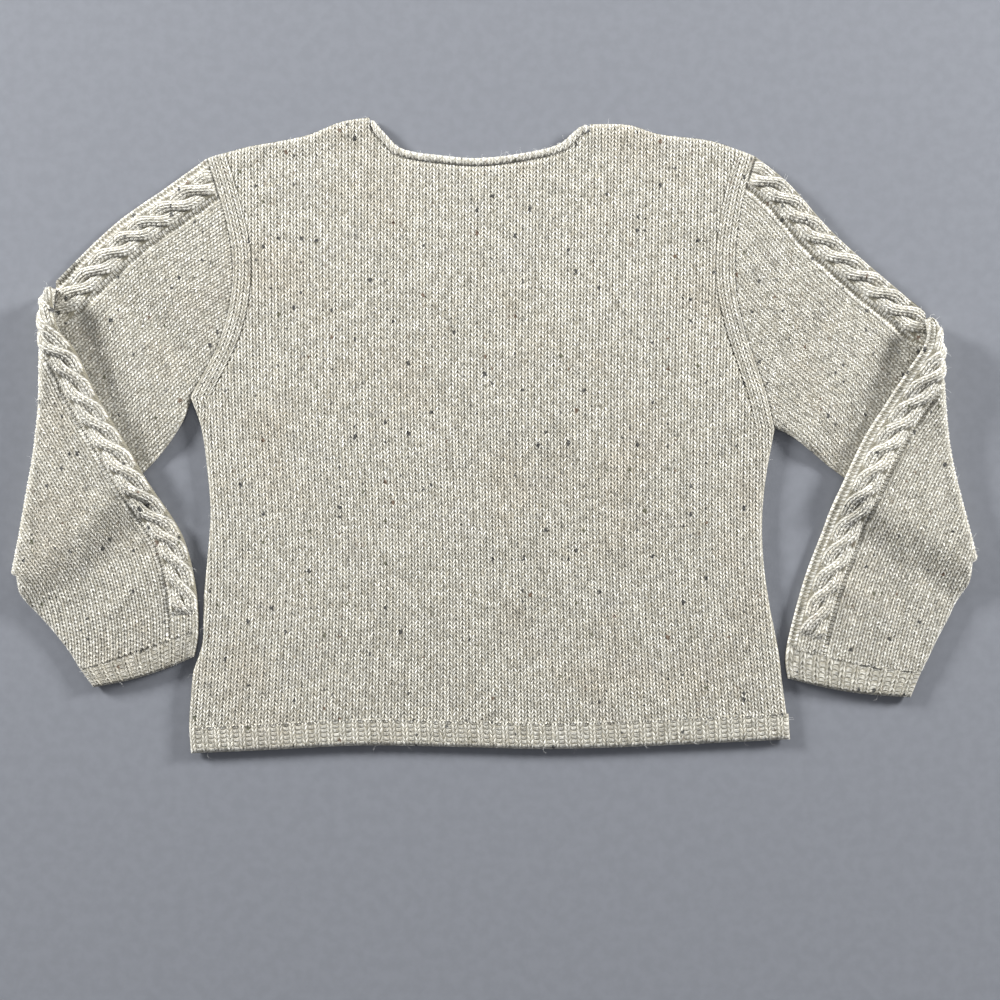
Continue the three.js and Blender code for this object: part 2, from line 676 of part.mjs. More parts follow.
const WOOL = new THREE.MeshStandardMaterial({ color: 0xcfc6b4, roughness: 0.95, metalness: 0 });
const RIB_WOOL = new THREE.MeshStandardMaterial({ color: 0xc9bfac, roughness: 0.95, metalness: 0 });

const pieces = [
  ["back", bodyPanel(BACK_NECK, true), WOOL],
  ["front", bodyPanel(FRONT_NECK, false), WOOL],
  ["back_hem_rib", hemRib(true), RIB_WOOL],
  ["front_hem_rib", hemRib(false), RIB_WOOL],
  ["back_neck_edge", neckEdge(BACK_NECK, BACK_LEVEL, NECK_EDGE.roll), RIB_WOOL],
  ["front_neck_edge", neckEdge(FRONT_NECK, 0, 0), RIB_WOOL],
  ["sleeve_left", sleeve("left"), WOOL],
  ["sleeve_right", sleeve("right"), WOOL],
  ["cuff_left", cuff("left"), RIB_WOOL],
  ["cuff_right", cuff("right"), RIB_WOOL],
];

const sweater = new THREE.Group();
for (const [name, geometry, material] of pieces) {
  const mesh = new THREE.Mesh(geometry, material);
  mesh.name = name;
  sweater.add(mesh);
}

export default sweater;
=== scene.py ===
"""Cable knit sweater, laid flat with its back up and both sleeves folded over at the elbow.

Every face of the knitted cloth is a grid that follows the stitches: wales run up the garment,
courses run across it, and the rows of points lean with the two legs of each stitch. The shape of
the cloth comes from the same tables and formulas as the solids, in millimetres.
"""

import bpy
import numpy as np
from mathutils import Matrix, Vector


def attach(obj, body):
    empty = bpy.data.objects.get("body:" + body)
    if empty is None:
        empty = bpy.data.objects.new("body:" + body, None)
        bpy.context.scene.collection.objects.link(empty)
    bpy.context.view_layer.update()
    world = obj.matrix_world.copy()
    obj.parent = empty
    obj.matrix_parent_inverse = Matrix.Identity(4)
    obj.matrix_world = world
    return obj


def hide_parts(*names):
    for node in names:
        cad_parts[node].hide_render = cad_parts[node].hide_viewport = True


bl_info = {
    "name": "Cable knit sweater laid flat",
    "version": (1, 0, 0),
    "blender": (4, 5, 0),
    "location": "3D View > Sidebar > Sweater",
    "description": "Builds a marled tweed pullover that lies flat with its sleeves folded over",
    "category": "Object",
}

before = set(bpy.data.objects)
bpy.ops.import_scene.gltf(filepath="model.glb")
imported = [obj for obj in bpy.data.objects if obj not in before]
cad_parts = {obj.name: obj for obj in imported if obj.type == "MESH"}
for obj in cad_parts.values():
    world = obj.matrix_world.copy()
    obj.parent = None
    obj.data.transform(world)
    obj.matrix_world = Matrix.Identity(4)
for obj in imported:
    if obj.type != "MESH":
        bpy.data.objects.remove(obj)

# Cloth, in millimetres as everything below is
WALL = 3.0
SEAM_GAP = 0.3
SEAM_HALF = 0.15
BACK_LEVEL = WALL + SEAM_GAP
LAID = BACK_LEVEL + WALL
MIDDLE = LAID / 2
EDGE_ROUND = 5.0
JOIN = 0.004
TUCK = 2.5
ON_FLOOR = 0.1

# Stitches
LEG_LEAN = 1.0
BODY_WALES = 92
BODY_COURSES = 150
BAND_WALES = 3
BAND_STITCH = 6.0
SIDE_WALES = 5
BODY_SWELL = 1.6
HEM_RIB = {"wales": 96, "courses": 6}
CUFF_RIB = {"wales": 20, "courses": 6}
NECK_STITCH = 6.2
UNEVEN_LEGS = 0.1

# Each piece numbers its wales from here, so that no two pieces show the same pattern
FIRST_WALE = {
    "inside": 400, "hem": 700, "neck": 900, "left": 1000, "right": 1300, "upper": 100,
    "rope": 1700, "sleeve_below": 2000, "cuff": 2200,
}
FIRST_COURSE = 500

# Cables
ROPE_FADE = 22.0
ROPE_STITCHES = 2
LADDER_WIDTH = 8.0
GUTTER_WIDTHS = {"upper": 7.5, "folded": 4.0}
ROWS_REACH = {"upper": (-8, 410), "folded": (-40, 384)}
SLEEVE_WALES = 36

# Sleeve fold
FOLD_LIFT = 5.0
LIFT_REACH = (25.0, 95.0)
DROP = 42.0
FOLD_BOW = 7.0
VALLEY = {"depth": 3.1, "reach": (15.0, 39.0), "brow": 0.9}
CORNER_TUCK = {"depth": 7.5, "reach": 22.0}
CUFF_BOW = 4.0
BEND_REACH = 38.0

SIDES = {
    "y": [-283.7, -244, -221.6, -200.3, -163.4, -119.8, -78.1, -38.3, 7.3, 37.3],
    "left": [-297.3, -297.8, -290.5, -284.2, -283.2, -279.4, -276.4, -278.9, -285.3, -295.4],
    "right": [286, 280.3, 277.9, 274.5, 267.2, 261.4, 260.4, 264.3, 272.1, 272.6],
}

# Where the outermost wales would run if no stitch ended at the edges
WALE_GUIDES = {
    "y": [-284, -130, 30, 150, 320],
    "left": [-297, -287, -295, -298, -300],
    "right": [286, 272.5, 273.5, 277, 281],
}

# How far each armhole seam bows into the body, from shoulder to underarm
ARMHOLES = {
    "share": [0, 0.12, 0.25, 0.37, 0.5, 0.65, 0.78, 0.88, 1],
    "left": [0, 11, 21.5, 29, 32, 30, 22.5, 13, 0],
    "right": [0, 11.5, 20.5, 26, 27, 21, 12, 5, 0],
}

HEM = {
    "x": [-295.4, -225, -130, -20, 40, 115, 287.5],
    "y": [-309, -306, -301.5, -303.2, -304.8, -303.4, -295.5],
}
HEM_HEIGHT = 25.0
LEFT_SHOULDER = {
    "x": [-278.9, -241, -209, -180, -149.9, -120.8],
    "y": [270.1, 280.8, 286.6, 293, 305.1, 309.9],
}
BACK_NECK = {
    "x": [-120.8, -108.2, -91.7, -51.9, -14, 34.4, 63.5, 82, 92.6],
    "y": [309.9, 295.4, 279.4, 272.1, 269.5, 275.5, 283.7, 299, 303.1],
}
FRONT_NECK = {
    "x": BACK_NECK["x"],
    "y": [309.9, 270, 236, 198, 186, 196, 225, 268, 303.1],
}
RIGHT_SHOULDER = {
    "x": [92.6, 130.5, 159.6, 211, 252.7],
    "y": [303.1, 302.2, 293.4, 286.6, 272.1],
}
NECK_WIDTH = 7.0
NECK_STEEPEST = 1.6
TIPS = {"left": (-278.9, 270.1), "right": (252.7, 272.1)}
UNDERARMS = {"left": (-295.4, 37.3), "right": (272.1, 7.3)}
SHOULDER_FOLDS = {"from_edge": [11, 27], "height": [0.9, -1.3]}

# Each part's two edges, from the armhole to the fold and from the fold to the cuff's end.
# "lean" is the way that the wales run in plan at the part's start and end, in degrees.
SLEEVES = {
    "left": {
        "inward": 1,
        "ladder": "upper",
        "upper": {
            "lean": (216, 224),
            "outer": [(-278.9, 270.1), (-319.6, 241), (-365.2, 209), (-405, 172.2), (-427.3, 149.9)],
            "under": [(-295.4, 37.3), (-306, 9), (-336.1, -30.6), (-397.2, -83.9), (-462.2, -136.3)],
        },
        "folded": {
            "lean": (-64, -71),
            "outer": [
                (-427.3, 149.9), (-420.5, 106.2), (-404, 81), (-385.6, 41.2), (-356.5, -8.2),
                (-329.3, -55.8), (-303.1, -98.5), (-290.5, -147.9), (-288, -189.6), (-292, -214.9),
            ],
            "under": [
                (-462.2, -136.3), (-460.3, -151.8), (-453.5, -163.4), (-445.7, -172.2),
                (-435, -183.8), (-424.4, -196.4), (-414.7, -209), (-407.9, -219.7),
                (-403, -227.5), (-390.4, -244.9),
            ],
        },
    },
    "right": {
        "inward": -1,
        "ladder": "folded",
        "upper": {
            "lean": (-41, -46),
            "outer": [(252.7, 272.1), (286.6, 244.9), (327.4, 199.3), (373.9, 157.6), (418.6, 120.8)],
            "under": [(272.1, 7.3), (293, -3.4), (335.1, -37.3), (398.2, -79.1), (462.2, -122.7)],
        },
        "folded": {
            "lean": (246, 257),
            "outer": [
                (418.6, 120.8), (413.7, 89.7), (398.2, 62.6), (378.8, 31.5), (357.4, -2.4),
                (335.1, -50), (318.6, -93.6), (300.2, -143.1), (283.7, -208.1), (285.2, -236.2),
            ],
            "under": [
                (462.2, -122.7), (460.3, -142.1), (453.5, -154.7), (446.7, -166.4),
                (440.9, -179), (434.1, -191.6), (428.3, -203.2), (421.5, -217.8),
                (414.7, -231.3), (405, -254.6),
            ],
        },
    },
}
CUFF_SECTIONS = {"seam": 8, "last": 9}

# Soft creases: middle, direction in degrees, half length, half width, height
CREASES = {
    "x": [-236, -222, -268, 226, 243, 250, -150, 120, -60, 190, -205, -20, 60, 205, -120],
    "y": [30, 75, -95, 10, 60, -120, -190, -225, -130, -60, -250, -60, 120, 150, 170],
    "way": [-38, 70, 84, 216, 112, 95, 12, -8, 80, 64, 30, 15, 72, 60, 110],
    "length": [60, 70, 80, 60, 80, 70, 80, 90, 110, 80, 60, 120, 110, 60, 60],
    "width": [9, 13, 11, 9, 12, 11, 22, 24, 26, 20, 14, 30, 28, 16, 15],
    "height": [1.4, -1.1, 1.0, 1.3, -1.0, 0.9, 0.8, -0.8, 0.7, 0.7, -0.8, -0.7, 0.8, -0.7, -0.8],
}
SLEEVE_CREASES = {
    "x": [-330, -352, -300, -372, -402, -440, 318, 345, 300, 372, 392, 438, -350, 360],
    "y": [110, 40, 60, -30, -120, -60, 110, 40, 30, -30, -110, -70, -150, -160],
    "way": [140, 118, 105, 130, 60, 95, 42, 62, 75, 48, 118, 84, 45, 140],
    "length": [60, 60, 50, 50, 60, 60, 60, 55, 50, 50, 60, 60, 45, 45],
    "width": [12, 11, 9, 10, 12, 10, 12, 11, 9, 10, 12, 10, 10, 10],
    "height": [-1.3, 1.3, -1.2, 1.2, 1.3, -1.2, -1.3, 1.3, -1.2, 1.2, 1.3, -1.2, 1.1, 1.1],
}

# The share of spots with a dark fleck, and how much of its own colour wool keeps where the most shade is
# painted
FLECK_SHARES = {"body wool": 0.065, "sleeve wool": 0.08, "rib wool": 0.065}
HOLLOW_LIGHT = 0.1

FIBRE = {"length": 4.5, "width": 0.16, "lowest": 0.2}
NECK_ROLLS = {"back": 4.2, "front": 3.0}

# The stage, in metres. Each lamp has its place, its two sides and its power, and looks at the
# sweater's middle.
FLOOR_HALF = 6.0
FLOOR_LEVEL = -0.0004
LAMPS = {
    "upper left light": ((-2.9, 1.6, 0.9), (0.9, 0.5), 275.0),
    "upper right light": ((2.9, 1.5, 0.9), (0.9, 0.5), 250.0),
    "far light": ((0.0, 2.6, 1.5), (1.8, 0.6), 22.0),
    "overhead fill": ((0.0, -0.1, 2.4), (2.2, 2.2), 9.0),
}
CAMERA_PLACE = (0.0053, -0.0626, 1.09)
CAMERA_LENS = 40.2

rng = np.random.default_rng(41)


# Shapes


def smooth_table(keys, values, at):
    """A cubic curve through a table, whose slope at each row comes from its two neighbours."""
    keys = np.asarray(keys, float)
    values = np.asarray(values, float)
    last = len(keys) - 1
    at = np.clip(at, keys[0], keys[-1])
    row = np.clip(np.searchsorted(keys, at, side="right") - 1, 0, last - 1)
    order = np.arange(last + 1)
    before = np.maximum(order - 1, 0)
    after = np.minimum(order + 1, last)
    slope = (values[after] - values[before]) / (keys[after] - keys[before])
    span = keys[row + 1] - keys[row]
    t = (at - keys[row]) / span
    start = values[row] * (2 * t**3 - 3 * t**2 + 1) + slope[row] * span * (t**3 - 2 * t**2 + t)
    end = values[row + 1] * (3 * t**2 - 2 * t**3) + slope[row + 1] * span * (t**3 - t**2)
    return start + end


def smoothstep(value, low, high):
    """0 below low, 1 above high, and a smooth rise between."""
    t = np.clip((value - low) / (high - low), 0, 1)
    return t * t * (3 - 2 * t)


def through(points, t):
    """A smooth curve through points in plan, at shares t of the way from the first to the last."""
    points = np.asarray(points, float)
    last = len(points) - 1
    at = np.clip(t, 0, 1) * last
    k = np.minimum(at.astype(int), last - 1)
    w = (at - k)[..., None]
    first, second = points[k], points[k + 1]
    slope_in = (second - points[np.maximum(k - 1, 0)]) / 2
    slope_out = (points[np.minimum(k + 2, last)] - first) / 2
    cubic = (2 * first - 2 * second + slope_in + slope_out) * w**3
    square = (-3 * first + 3 * second - 2 * slope_in - slope_out) * w**2
    return cubic + square + slope_in * w + first


def unit(vectors):
    """Vectors divided by their lengths."""
    return vectors / np.linalg.norm(vectors, axis=-1, keepdims=True)


def turned(vectors):
    """Plan vectors turned a quarter to the left."""
    return np.stack([-vectors[..., 1], vectors[..., 0]], axis=-1)


def edge_dome(distance):
    """The share of the full thickness that cloth has at a distance from its rounded edge."""
    away = np.clip(1 - distance / EDGE_ROUND, 0, 1)
    return np.sqrt(1 - away * away)


def distance_to(line, points):
    """The distance in plan from each point to the nearest place on a line of points."""
    start, step = line[:-1], np.diff(line, axis=0)
    length = (step**2).sum(axis=1)
    nearest = np.full(len(points), np.inf)
    for k in range(len(start)):
        offset = points - start[k]
        share = np.clip(offset @ step[k] / length[k], 0, 1)
        gap = offset - share[:, None] * step[k]
        nearest = np.minimum(nearest, (gap**2).sum(axis=1))
    return np.sqrt(nearest)


def creases(table, x, y):
    """The height of soft folds: each is a long bell shape across a line and along it."""
    total = np.zeros_like(x)
    for k in range(len(table["x"])):
        way = np.radians(table["way"][k])
        dx, dy = x - table["x"][k], y - table["y"][k]
        along = (dx * np.cos(way) + dy * np.sin(way)) / table["length"][k]
        bent = 6 * along**2
        across = (dy * np.cos(way) - dx * np.sin(way) - bent) / table["width"][k]
        total += table["height"][k] * np.exp(-along * along - across * across)
    return total


def uneven(x, y):
    """Slow ups and downs of cloth that was laid by hand."""
    slow = np.sin(x / 31 + 1.3 * np.sin(y / 47)) * np.sin(y / 26 + 0.7)
    slower = np.sin(x / 71 - y / 53 + 0.4) + np.sin(y / 88 + x / 140)
    return 0.22 * slow + 0.2 * slower


def bell(distance, width):
    """A bell shape: 1 in its middle, falling off to both sides over a width."""
    return np.exp(-((distance / width) ** 2))


def beads(at):
    """A wave that is 1 at each whole number and 0 halfway between two."""
    return 0.5 + 0.5 * np.cos(2 * np.pi * at)


def leg_relief(wale, course):
    """Stockinette from 0 in its hollows to 1 on the legs of its stitches. The two legs of a
    stitch lean away from the middle of its wale, one course for each half wale. It is a half sine
    along the leg, times a half sine across it."""
    side = 2 * np.abs(wale % 1 - 0.5)
    crest = np.sin(np.pi * ((course - LEG_LEAN * side) % 1))
    return (0.3 + 0.7 * crest) * np.sin(np.pi * (0.12 + 0.8 * side))


def uneven_legs(wale, course):
    """Legs of stitches that are each a little higher or lower than the formula."""
    return leg_relief(wale, course) * (1 + UNEVEN_LEGS * rng.standard_normal(len(wale)))


def stitch_grid(wales, first_course, last_course, columns=4, rows=2):
    """Points of a knitted face in stitch units, row by row, and the quads between them. Rows
    lean with the legs of the stitches and are cut off at the first course."""
    course = np.arange(int((last_course - first_course + LEG_LEAN) * rows) + 1) / rows
    wale, course, quads = grid_of(
        np.arange(wales * columns + 1) / columns, course + first_course - LEG_LEAN
    )
    side = 2 * np.abs(wale % 1 - 0.5)
    return wale, np.maximum(course + LEG_LEAN * side, first_course), quads


def quads_of(shape):
    """The quads between neighbours in a grid of points, numbered row by row."""
    rows, columns = shape
    corner = (np.arange(rows - 1)[:, None] * columns + np.arange(columns - 1)).ravel()
    return np.stack([corner, corner + 1, corner + columns + 1, corner + columns], axis=1)


def grid_of(across, along):
    """Every pair of two lists of numbers, row by row, and the quads between them."""
    across, along = np.meshgrid(across, along)
    return across.ravel(), along.ravel(), quads_of(across.shape)


# Pieces


def add_piece(name, points, quads, stitches, hollow, material, upward=None):
    """Makes a mesh of points in millimetres. Points that fall together are joined, faces with
    no area are left out, and faces are turned to look up, down, or out of a closed piece. The
    stitches hold wale and course, and 1 in a third column where the stitch is a purl."""
    quads = quads[np.isfinite(points[quads]).all(axis=(1, 2))]
    finite = np.nan_to_num(points, nan=1e4)
    keys = np.round(finite / JOIN).astype(np.int64)
    _, first, joined = np.unique(keys, axis=0, return_index=True, return_inverse=True)
    joined = joined.ravel()
    corners = joined[quads]
    place = finite[first]
    diagonal = place[corners[:, 2]] - place[corners[:, 0]]
    other = place[corners[:, 3]] - place[corners[:, 1]]
    normal = np.cross(diagonal, other)
    has_area = np.linalg.norm(normal, axis=1) > 0.01
    quads, corners, normal = quads[has_area], corners[has_area], normal[has_area]
    if upward is None:
        middle = place[corners].mean(axis=1)
        facing = (normal * (middle - middle.mean(axis=0))).sum() > 0
    else:
        facing = (normal[:, 2].sum() > 0) == upward
    if not facing:
        quads, corners = quads[:, ::-1], corners[:, ::-1]
    distinct = corners != np.roll(corners, -1, axis=1)
    sides = distinct.sum(axis=1)
    four, three = sides == 4, sides == 3
    triangles = corners[three][distinct[three]].reshape(-1, 3)
    loops = np.concatenate([quads[four].ravel(), quads[three][distinct[three]]])
    used, index = np.unique(
        np.concatenate([corners[four].ravel(), triangles.ravel()]), return_inverse=True
    )
    index = index.ravel()
    cut = 4 * int(four.sum())
    faces = index[:cut].reshape(-1, 4).tolist() + index[cut:].reshape(-1, 3).tolist()

    mesh = bpy.data.meshes.new(name)
    mesh.from_pydata(place[used] / 1000, [], faces)
    mesh.polygons.foreach_set("use_smooth", np.ones(len(faces), bool))
    uv = mesh.uv_layers.new(name="stitches")
    uv.data.foreach_set("uv", stitches[loops, :2].astype(np.float32).ravel())
    purl = stitches[:, 2] if stitches.shape[1] > 2 else np.zeros(len(stitches))
    for key, values in (("hollow", hollow), ("purl", purl)):
        shade = mesh.attributes.new(key, "FLOAT", "POINT")
        shade.data.foreach_set("value", values[first][used].astype(np.float32))
    mesh.materials.append(bpy.data.materials[material])
    mesh.update()
    piece = bpy.data.objects.new(name, mesh)
    bpy.context.scene.collection.objects.link(piece)
    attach(piece, "root")
    return piece


def flat_tube(upper, lower):
    """Two layers as one piece, which is a tube pressed flat. The first looks up, the second down."""
    points, quads, stitches, hollow = [], [], [], []
    count = 0
    for layer, is_upper in ((upper, True), (lower, False)):
        corner = layer[0][layer[1]]
        whole = np.isfinite(corner).all(axis=(1, 2))
        faces, corner = layer[1][whole], corner[whole]
        normal = np.cross(corner[:, 2] - corner[:, 0], corner[:, 3] - corner[:, 1])
        if (normal[:, 2].sum() > 0) != is_upper:
            faces = faces[:, ::-1]
        purl = layer[2][:, 2:] if layer[2].shape[1] > 2 else np.zeros((len(layer[0]), 1))
        points.append(layer[0])
        quads.append(faces + count)
        stitches.append(np.hstack([layer[2][:, :2], purl]))
        hollow.append(layer[3])
        count += len(layer[0])
    return np.vstack(points), np.vstack(quads), np.vstack(stitches), np.concatenate(hollow)


def declare(node):
    """Hides the solid that a piece stands for."""
    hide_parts(node)


# Body


def hem_height(x):
    """The lower edge of the hem at x."""
    return smooth_table(HEM["x"], HEM["y"], x)


def seam_height(x):
    """The seam between the hem's rib and the body, one band's height above the hem."""
    return hem_height(x) + HEM_HEIGHT


def body_edge(side, y):
    """The side seam, and above the underarm the armhole seam."""
    tip_x, tip_y = TIPS[side]
    under_x, under_y = UNDERARMS[side]
    share = np.clip((tip_y - y) / (tip_y - under_y), 0, 1)
    bow = smooth_table(ARMHOLES["share"], ARMHOLES[side], share)
    armhole = tip_x + (under_x - tip_x) * share + (bow if side == "left" else -bow)
    return np.where(y <= under_y, smooth_table(SIDES["y"], SIDES[side], y), armhole)


def neck_height(neck, x):
    """The height of a neck's outline in plan, and how far below it its edge reaches."""
    step = 0.4
    y = smooth_table(neck["x"], neck["y"], x)
    rise = smooth_table(neck["x"], neck["y"], x + step) - smooth_table(neck["x"], neck["y"], x - step)
    steep = np.hypot(1, rise / (2 * step))
    return y, NECK_WIDTH * np.minimum(steep, NECK_STEEPEST)


def body_top(neck, x):
    """The upper outline of a body panel: shoulder, neck seam, shoulder."""
    left = smooth_table(LEFT_SHOULDER["x"], LEFT_SHOULDER["y"], x)
    right = smooth_table(RIGHT_SHOULDER["x"], RIGHT_SHOULDER["y"], x)
    y, depth = neck_height(neck, x)
    is_neck = (x > neck["x"][0]) & (x < neck["x"][-1])
    return np.where(is_neck, y - depth, np.where(x < 0, left, right)), is_neck


def body_plan(neck, wale, course, pitch):
    """Plan position of stitches. Wales run up the body, and where the armholes cut in they end
    at a band of wales that follows the armhole. Also gives the wale that shows there."""
    share = wale / BODY_WALES
    last_free = BODY_WALES - BAND_WALES
    foot_x = SIDES["left"][0] + (SIDES["right"][0] - SIDES["left"][0]) * share
    y = seam_height(foot_x) + SEAM_GAP + course * pitch
    shown = wale
    for _ in range(3):
        left_guide = smooth_table(WALE_GUIDES["y"], WALE_GUIDES["left"], y)
        right_guide = smooth_table(WALE_GUIDES["y"], WALE_GUIDES["right"], y)
        width = (right_guide - left_guide) / BODY_WALES
        left, right = body_edge("left", y), body_edge("right", y)
        left_band = width * smoothstep(y, UNDERARMS["left"][1] - 25, UNDERARMS["left"][1] + 5)
        right_band = width * smoothstep(y, UNDERARMS["right"][1] - 25, UNDERARMS["right"][1] + 5)
        inner_left = left + BAND_WALES * left_band
        inner_right = right - BAND_WALES * right_band
        free = left_guide + wale * width
        shown = np.where((wale > BAND_WALES) & (free < inner_left), BAND_WALES, wale)
        shown = np.where((wale < last_free) & (free > inner_right), last_free, shown)
        x = np.clip(free, inner_left, inner_right)
        in_left, in_right = wale <= BAND_WALES, wale >= last_free
        from_left = free + (left + wale * width - free) * left_band / width
        from_right = free + (right - (BODY_WALES - wale) * width - free) * right_band / width
        x = np.where(in_left, np.maximum(from_left, left), x)
        x = np.where(in_right, np.minimum(from_right, right), x)
        top, is_neck = body_top(neck, x)
        y = np.minimum(y, top)
    return x, y, shown, top, is_neck, left, right


def side_of(x, left, right):
    """The distance from the nearer side of a panel, and the height of the underarm there."""
    under_y = np.where(x < 0, UNDERARMS["left"][1], UNDERARMS["right"][1])
    return np.where(x < 0, x - left, right - x), under_y


def shoulder_folds(distance):
    """Folds along the shoulder: a bell shape across each, at its distance from the edge."""
    total = np.zeros_like(distance)
    for from_edge, height in zip(SHOULDER_FOLDS["from_edge"], SHOULDER_FOLDS["height"]):
        total += height * bell(distance - from_edge, 0.4 * from_edge)
    return total


def back_face(relief, pitch):
    """The back of the body: points, quads, stitch positions and amounts of painted shade. Its height is
    the cloth's thickness, rounded off at free edges, with a swell, folds and creases, a raised band
    and dotted eyelets beside each armhole, and the relief of the stitches."""
    wale, course, quads = stitch_grid(BODY_WALES, 0, BODY_COURSES)
    x, y, shown, top, is_neck, left, right = body_plan(BACK_NECK, wale, course, pitch)
    across = np.clip((x - left) / (right - left), 0, 1)
    up = np.clip((y - seam_height(x)) / (top - seam_height(x)), 0, 1)
    side, under_y = side_of(x, left, right)
    below_arm = 1 - smoothstep(y, under_y - 15, under_y + 10)
    dome = 1 - below_arm * (1 - edge_dome(side))
    dome = np.where(is_neck, dome, np.minimum(dome, edge_dome(top - y)))
    beside_neck = np.maximum(BACK_NECK["x"][0] - x, x - BACK_NECK["x"][-1])
    shoulder = shoulder_folds(top - y) * smoothstep(beside_neck, -12, 12)
    soft = shoulder * np.sin(np.pi * across) + creases(CREASES, x, y) + uneven(x, y)
    soft *= np.sin(np.pi * across) ** 0.3 * np.clip(np.sin(np.pi * up), 0, 1) ** 0.3
    swell = BODY_SWELL * np.sin(np.pi * across) * np.sin(np.pi * up)

    to_border = np.minimum(side, top - y)
    legs = uneven_legs(shown, course)
    legs *= 0.55 + 0.45 * smoothstep(to_border, -0.5, 2.5)
    seam = (1 - below_arm) * 0.35 * bell(side, 1.8)
    neck_seam = np.where(is_neck, 1.2 * bell(top - y, 3), 0)
    band = BAND_WALES * BAND_STITCH
    eyelet = bell(side - band - 0.5, 1.5) + bell(side - 0.7, 1.2)
    above = y - under_y
    eyelet *= smoothstep(above, 0, 14) * (1 - smoothstep(above, 105, 150))
    eyelet *= 0.45 + 0.55 * np.cos(2 * np.pi * course)
    ridge = 0.7 * (1 - below_arm) * bell(side - 0.5 * band, 0.42 * band)
    z = BACK_LEVEL + swell + soft + ridge + (WALL - relief / 2) * dome + relief * legs * dome
    z -= seam + neck_seam + 0.9 * eyelet
    shut = SEAM_GAP * (1 - below_arm) * np.exp(-side)
    x += np.where(x < 0, -shut, shut)
    # Painted shade: between the legs of the stitches, more in the eyelets and near the borders where the
    # legs are flattened
    hollow = np.clip(1 - legs + 0.6 * eyelet, 0, 1.4)
    points = np.stack([x, y, z], axis=1)
    return points, quads, np.stack([wale, course], axis=1), hollow


def plain_panel(neck, is_back):
    """The side of a panel that doesn't show from above: the underside of the front, or the
    inside of the back."""
    share, up, quads = grid_of(np.linspace(0, 1, 93), np.linspace(0, 1, 77))
    wale, course = share * BODY_WALES, up * BODY_COURSES
    x, y, _, top, is_neck, left, right = body_plan(neck, wale, course, 600 / BODY_COURSES)
    side, under_y = side_of(x, left, right)
    dome = np.where(y < under_y, edge_dome(side), 1)
    dome = np.where(is_neck, dome, np.minimum(dome, edge_dome(top - y)))
    z = BACK_LEVEL + 0 * x if is_back else WALL * (1 - dome)
    hollow = np.full(len(x), 0.25)
    stitches = np.stack([wale + FIRST_WALE["inside"], course], axis=1)
    return np.stack([x, y, z], axis=1), quads, stitches, hollow


def rib_pattern(wale):
    """A wave that is 1 on knit wales and 0 on purl wales, and the share of purl."""
    wave = 0.5 - 0.5 * np.cos(np.pi * (wale + 0.5))
    return wave, smoothstep(wave, 0.45, 0.2)


def rib_painted_shade(wave, legs, least):
    """Painted shade of a rib: most on its purl wales and between the legs of its knit ones."""
    return np.clip(least + 0.45 * (1 - wave) + 0.75 * (1 - legs) * wave, 0, 1.2)


def rib_grid(wales, courses, is_shown, points_each):
    """Points of a rib band in stitch units, the quads between them, and their shares of the way
    across the band and up it. A layer that shows has the grid of its stitches."""
    if is_shown:
        wale, course, quads = stitch_grid(wales, 0, courses + 1)
    else:
        wale, course, quads = grid_of(
            np.linspace(0, wales, points_each * wales + 1),
            np.linspace(0, courses, points_each * courses + 1),
        )
    return wale, course, quads, wale / wales, np.clip(course / courses, 0, 1)


def hem_rib(is_back, relief):
    """A rib band: knit wales stand up and purl wales lie low between them."""
    left, right = SIDES["left"][0], SIDES["right"][0]
    corners = HEM["x"][0], HEM["x"][-1]
    wale, course, quads, share, up = rib_grid(HEM_RIB["wales"], HEM_RIB["courses"], is_back, 1)
    low = corners[0] + (corners[1] - corners[0]) * share
    high = left + (right - left) * share
    x = low + (high - low) * up
    foot = hem_height(x)
    y = foot + (seam_height(high) + SEAM_GAP - foot) * up
    side = np.minimum(share, 1 - share) * (right - left)
    dome = np.minimum(edge_dome(side), edge_dome(up * HEM_HEIGHT + 0.3 * (up > 0)))
    dome = np.where(up == 0, 0, dome)
    wave, purl = rib_pattern(wale)
    stitches = np.stack([wale + FIRST_WALE["hem"], course, purl], axis=1)
    if not is_back:
        points = np.stack([x, y, WALL * (1 - dome)], axis=1)
        return points, quads, stitches, np.full(len(x), 0.25)
    legs = uneven_legs(wale, course)
    height = wave * (0.5 + relief * legs) + (1 - wave) * (0.35 * beads(course) - 0.2)
    height *= smoothstep(up, 0, 0.12)
    height = WALL - relief / 2 + height + 0.5 * uneven(x, y) * (1 - up)
    z = BACK_LEVEL + height * dome
    # Painted shade on the purl wales and between the legs, with less of it toward the lower edge
    hollow = rib_painted_shade(wave, legs, 0.2) * (0.3 + 0.7 * smoothstep(up, 0, 0.2))
    return np.stack([x, y, z], axis=1), quads, stitches, hollow


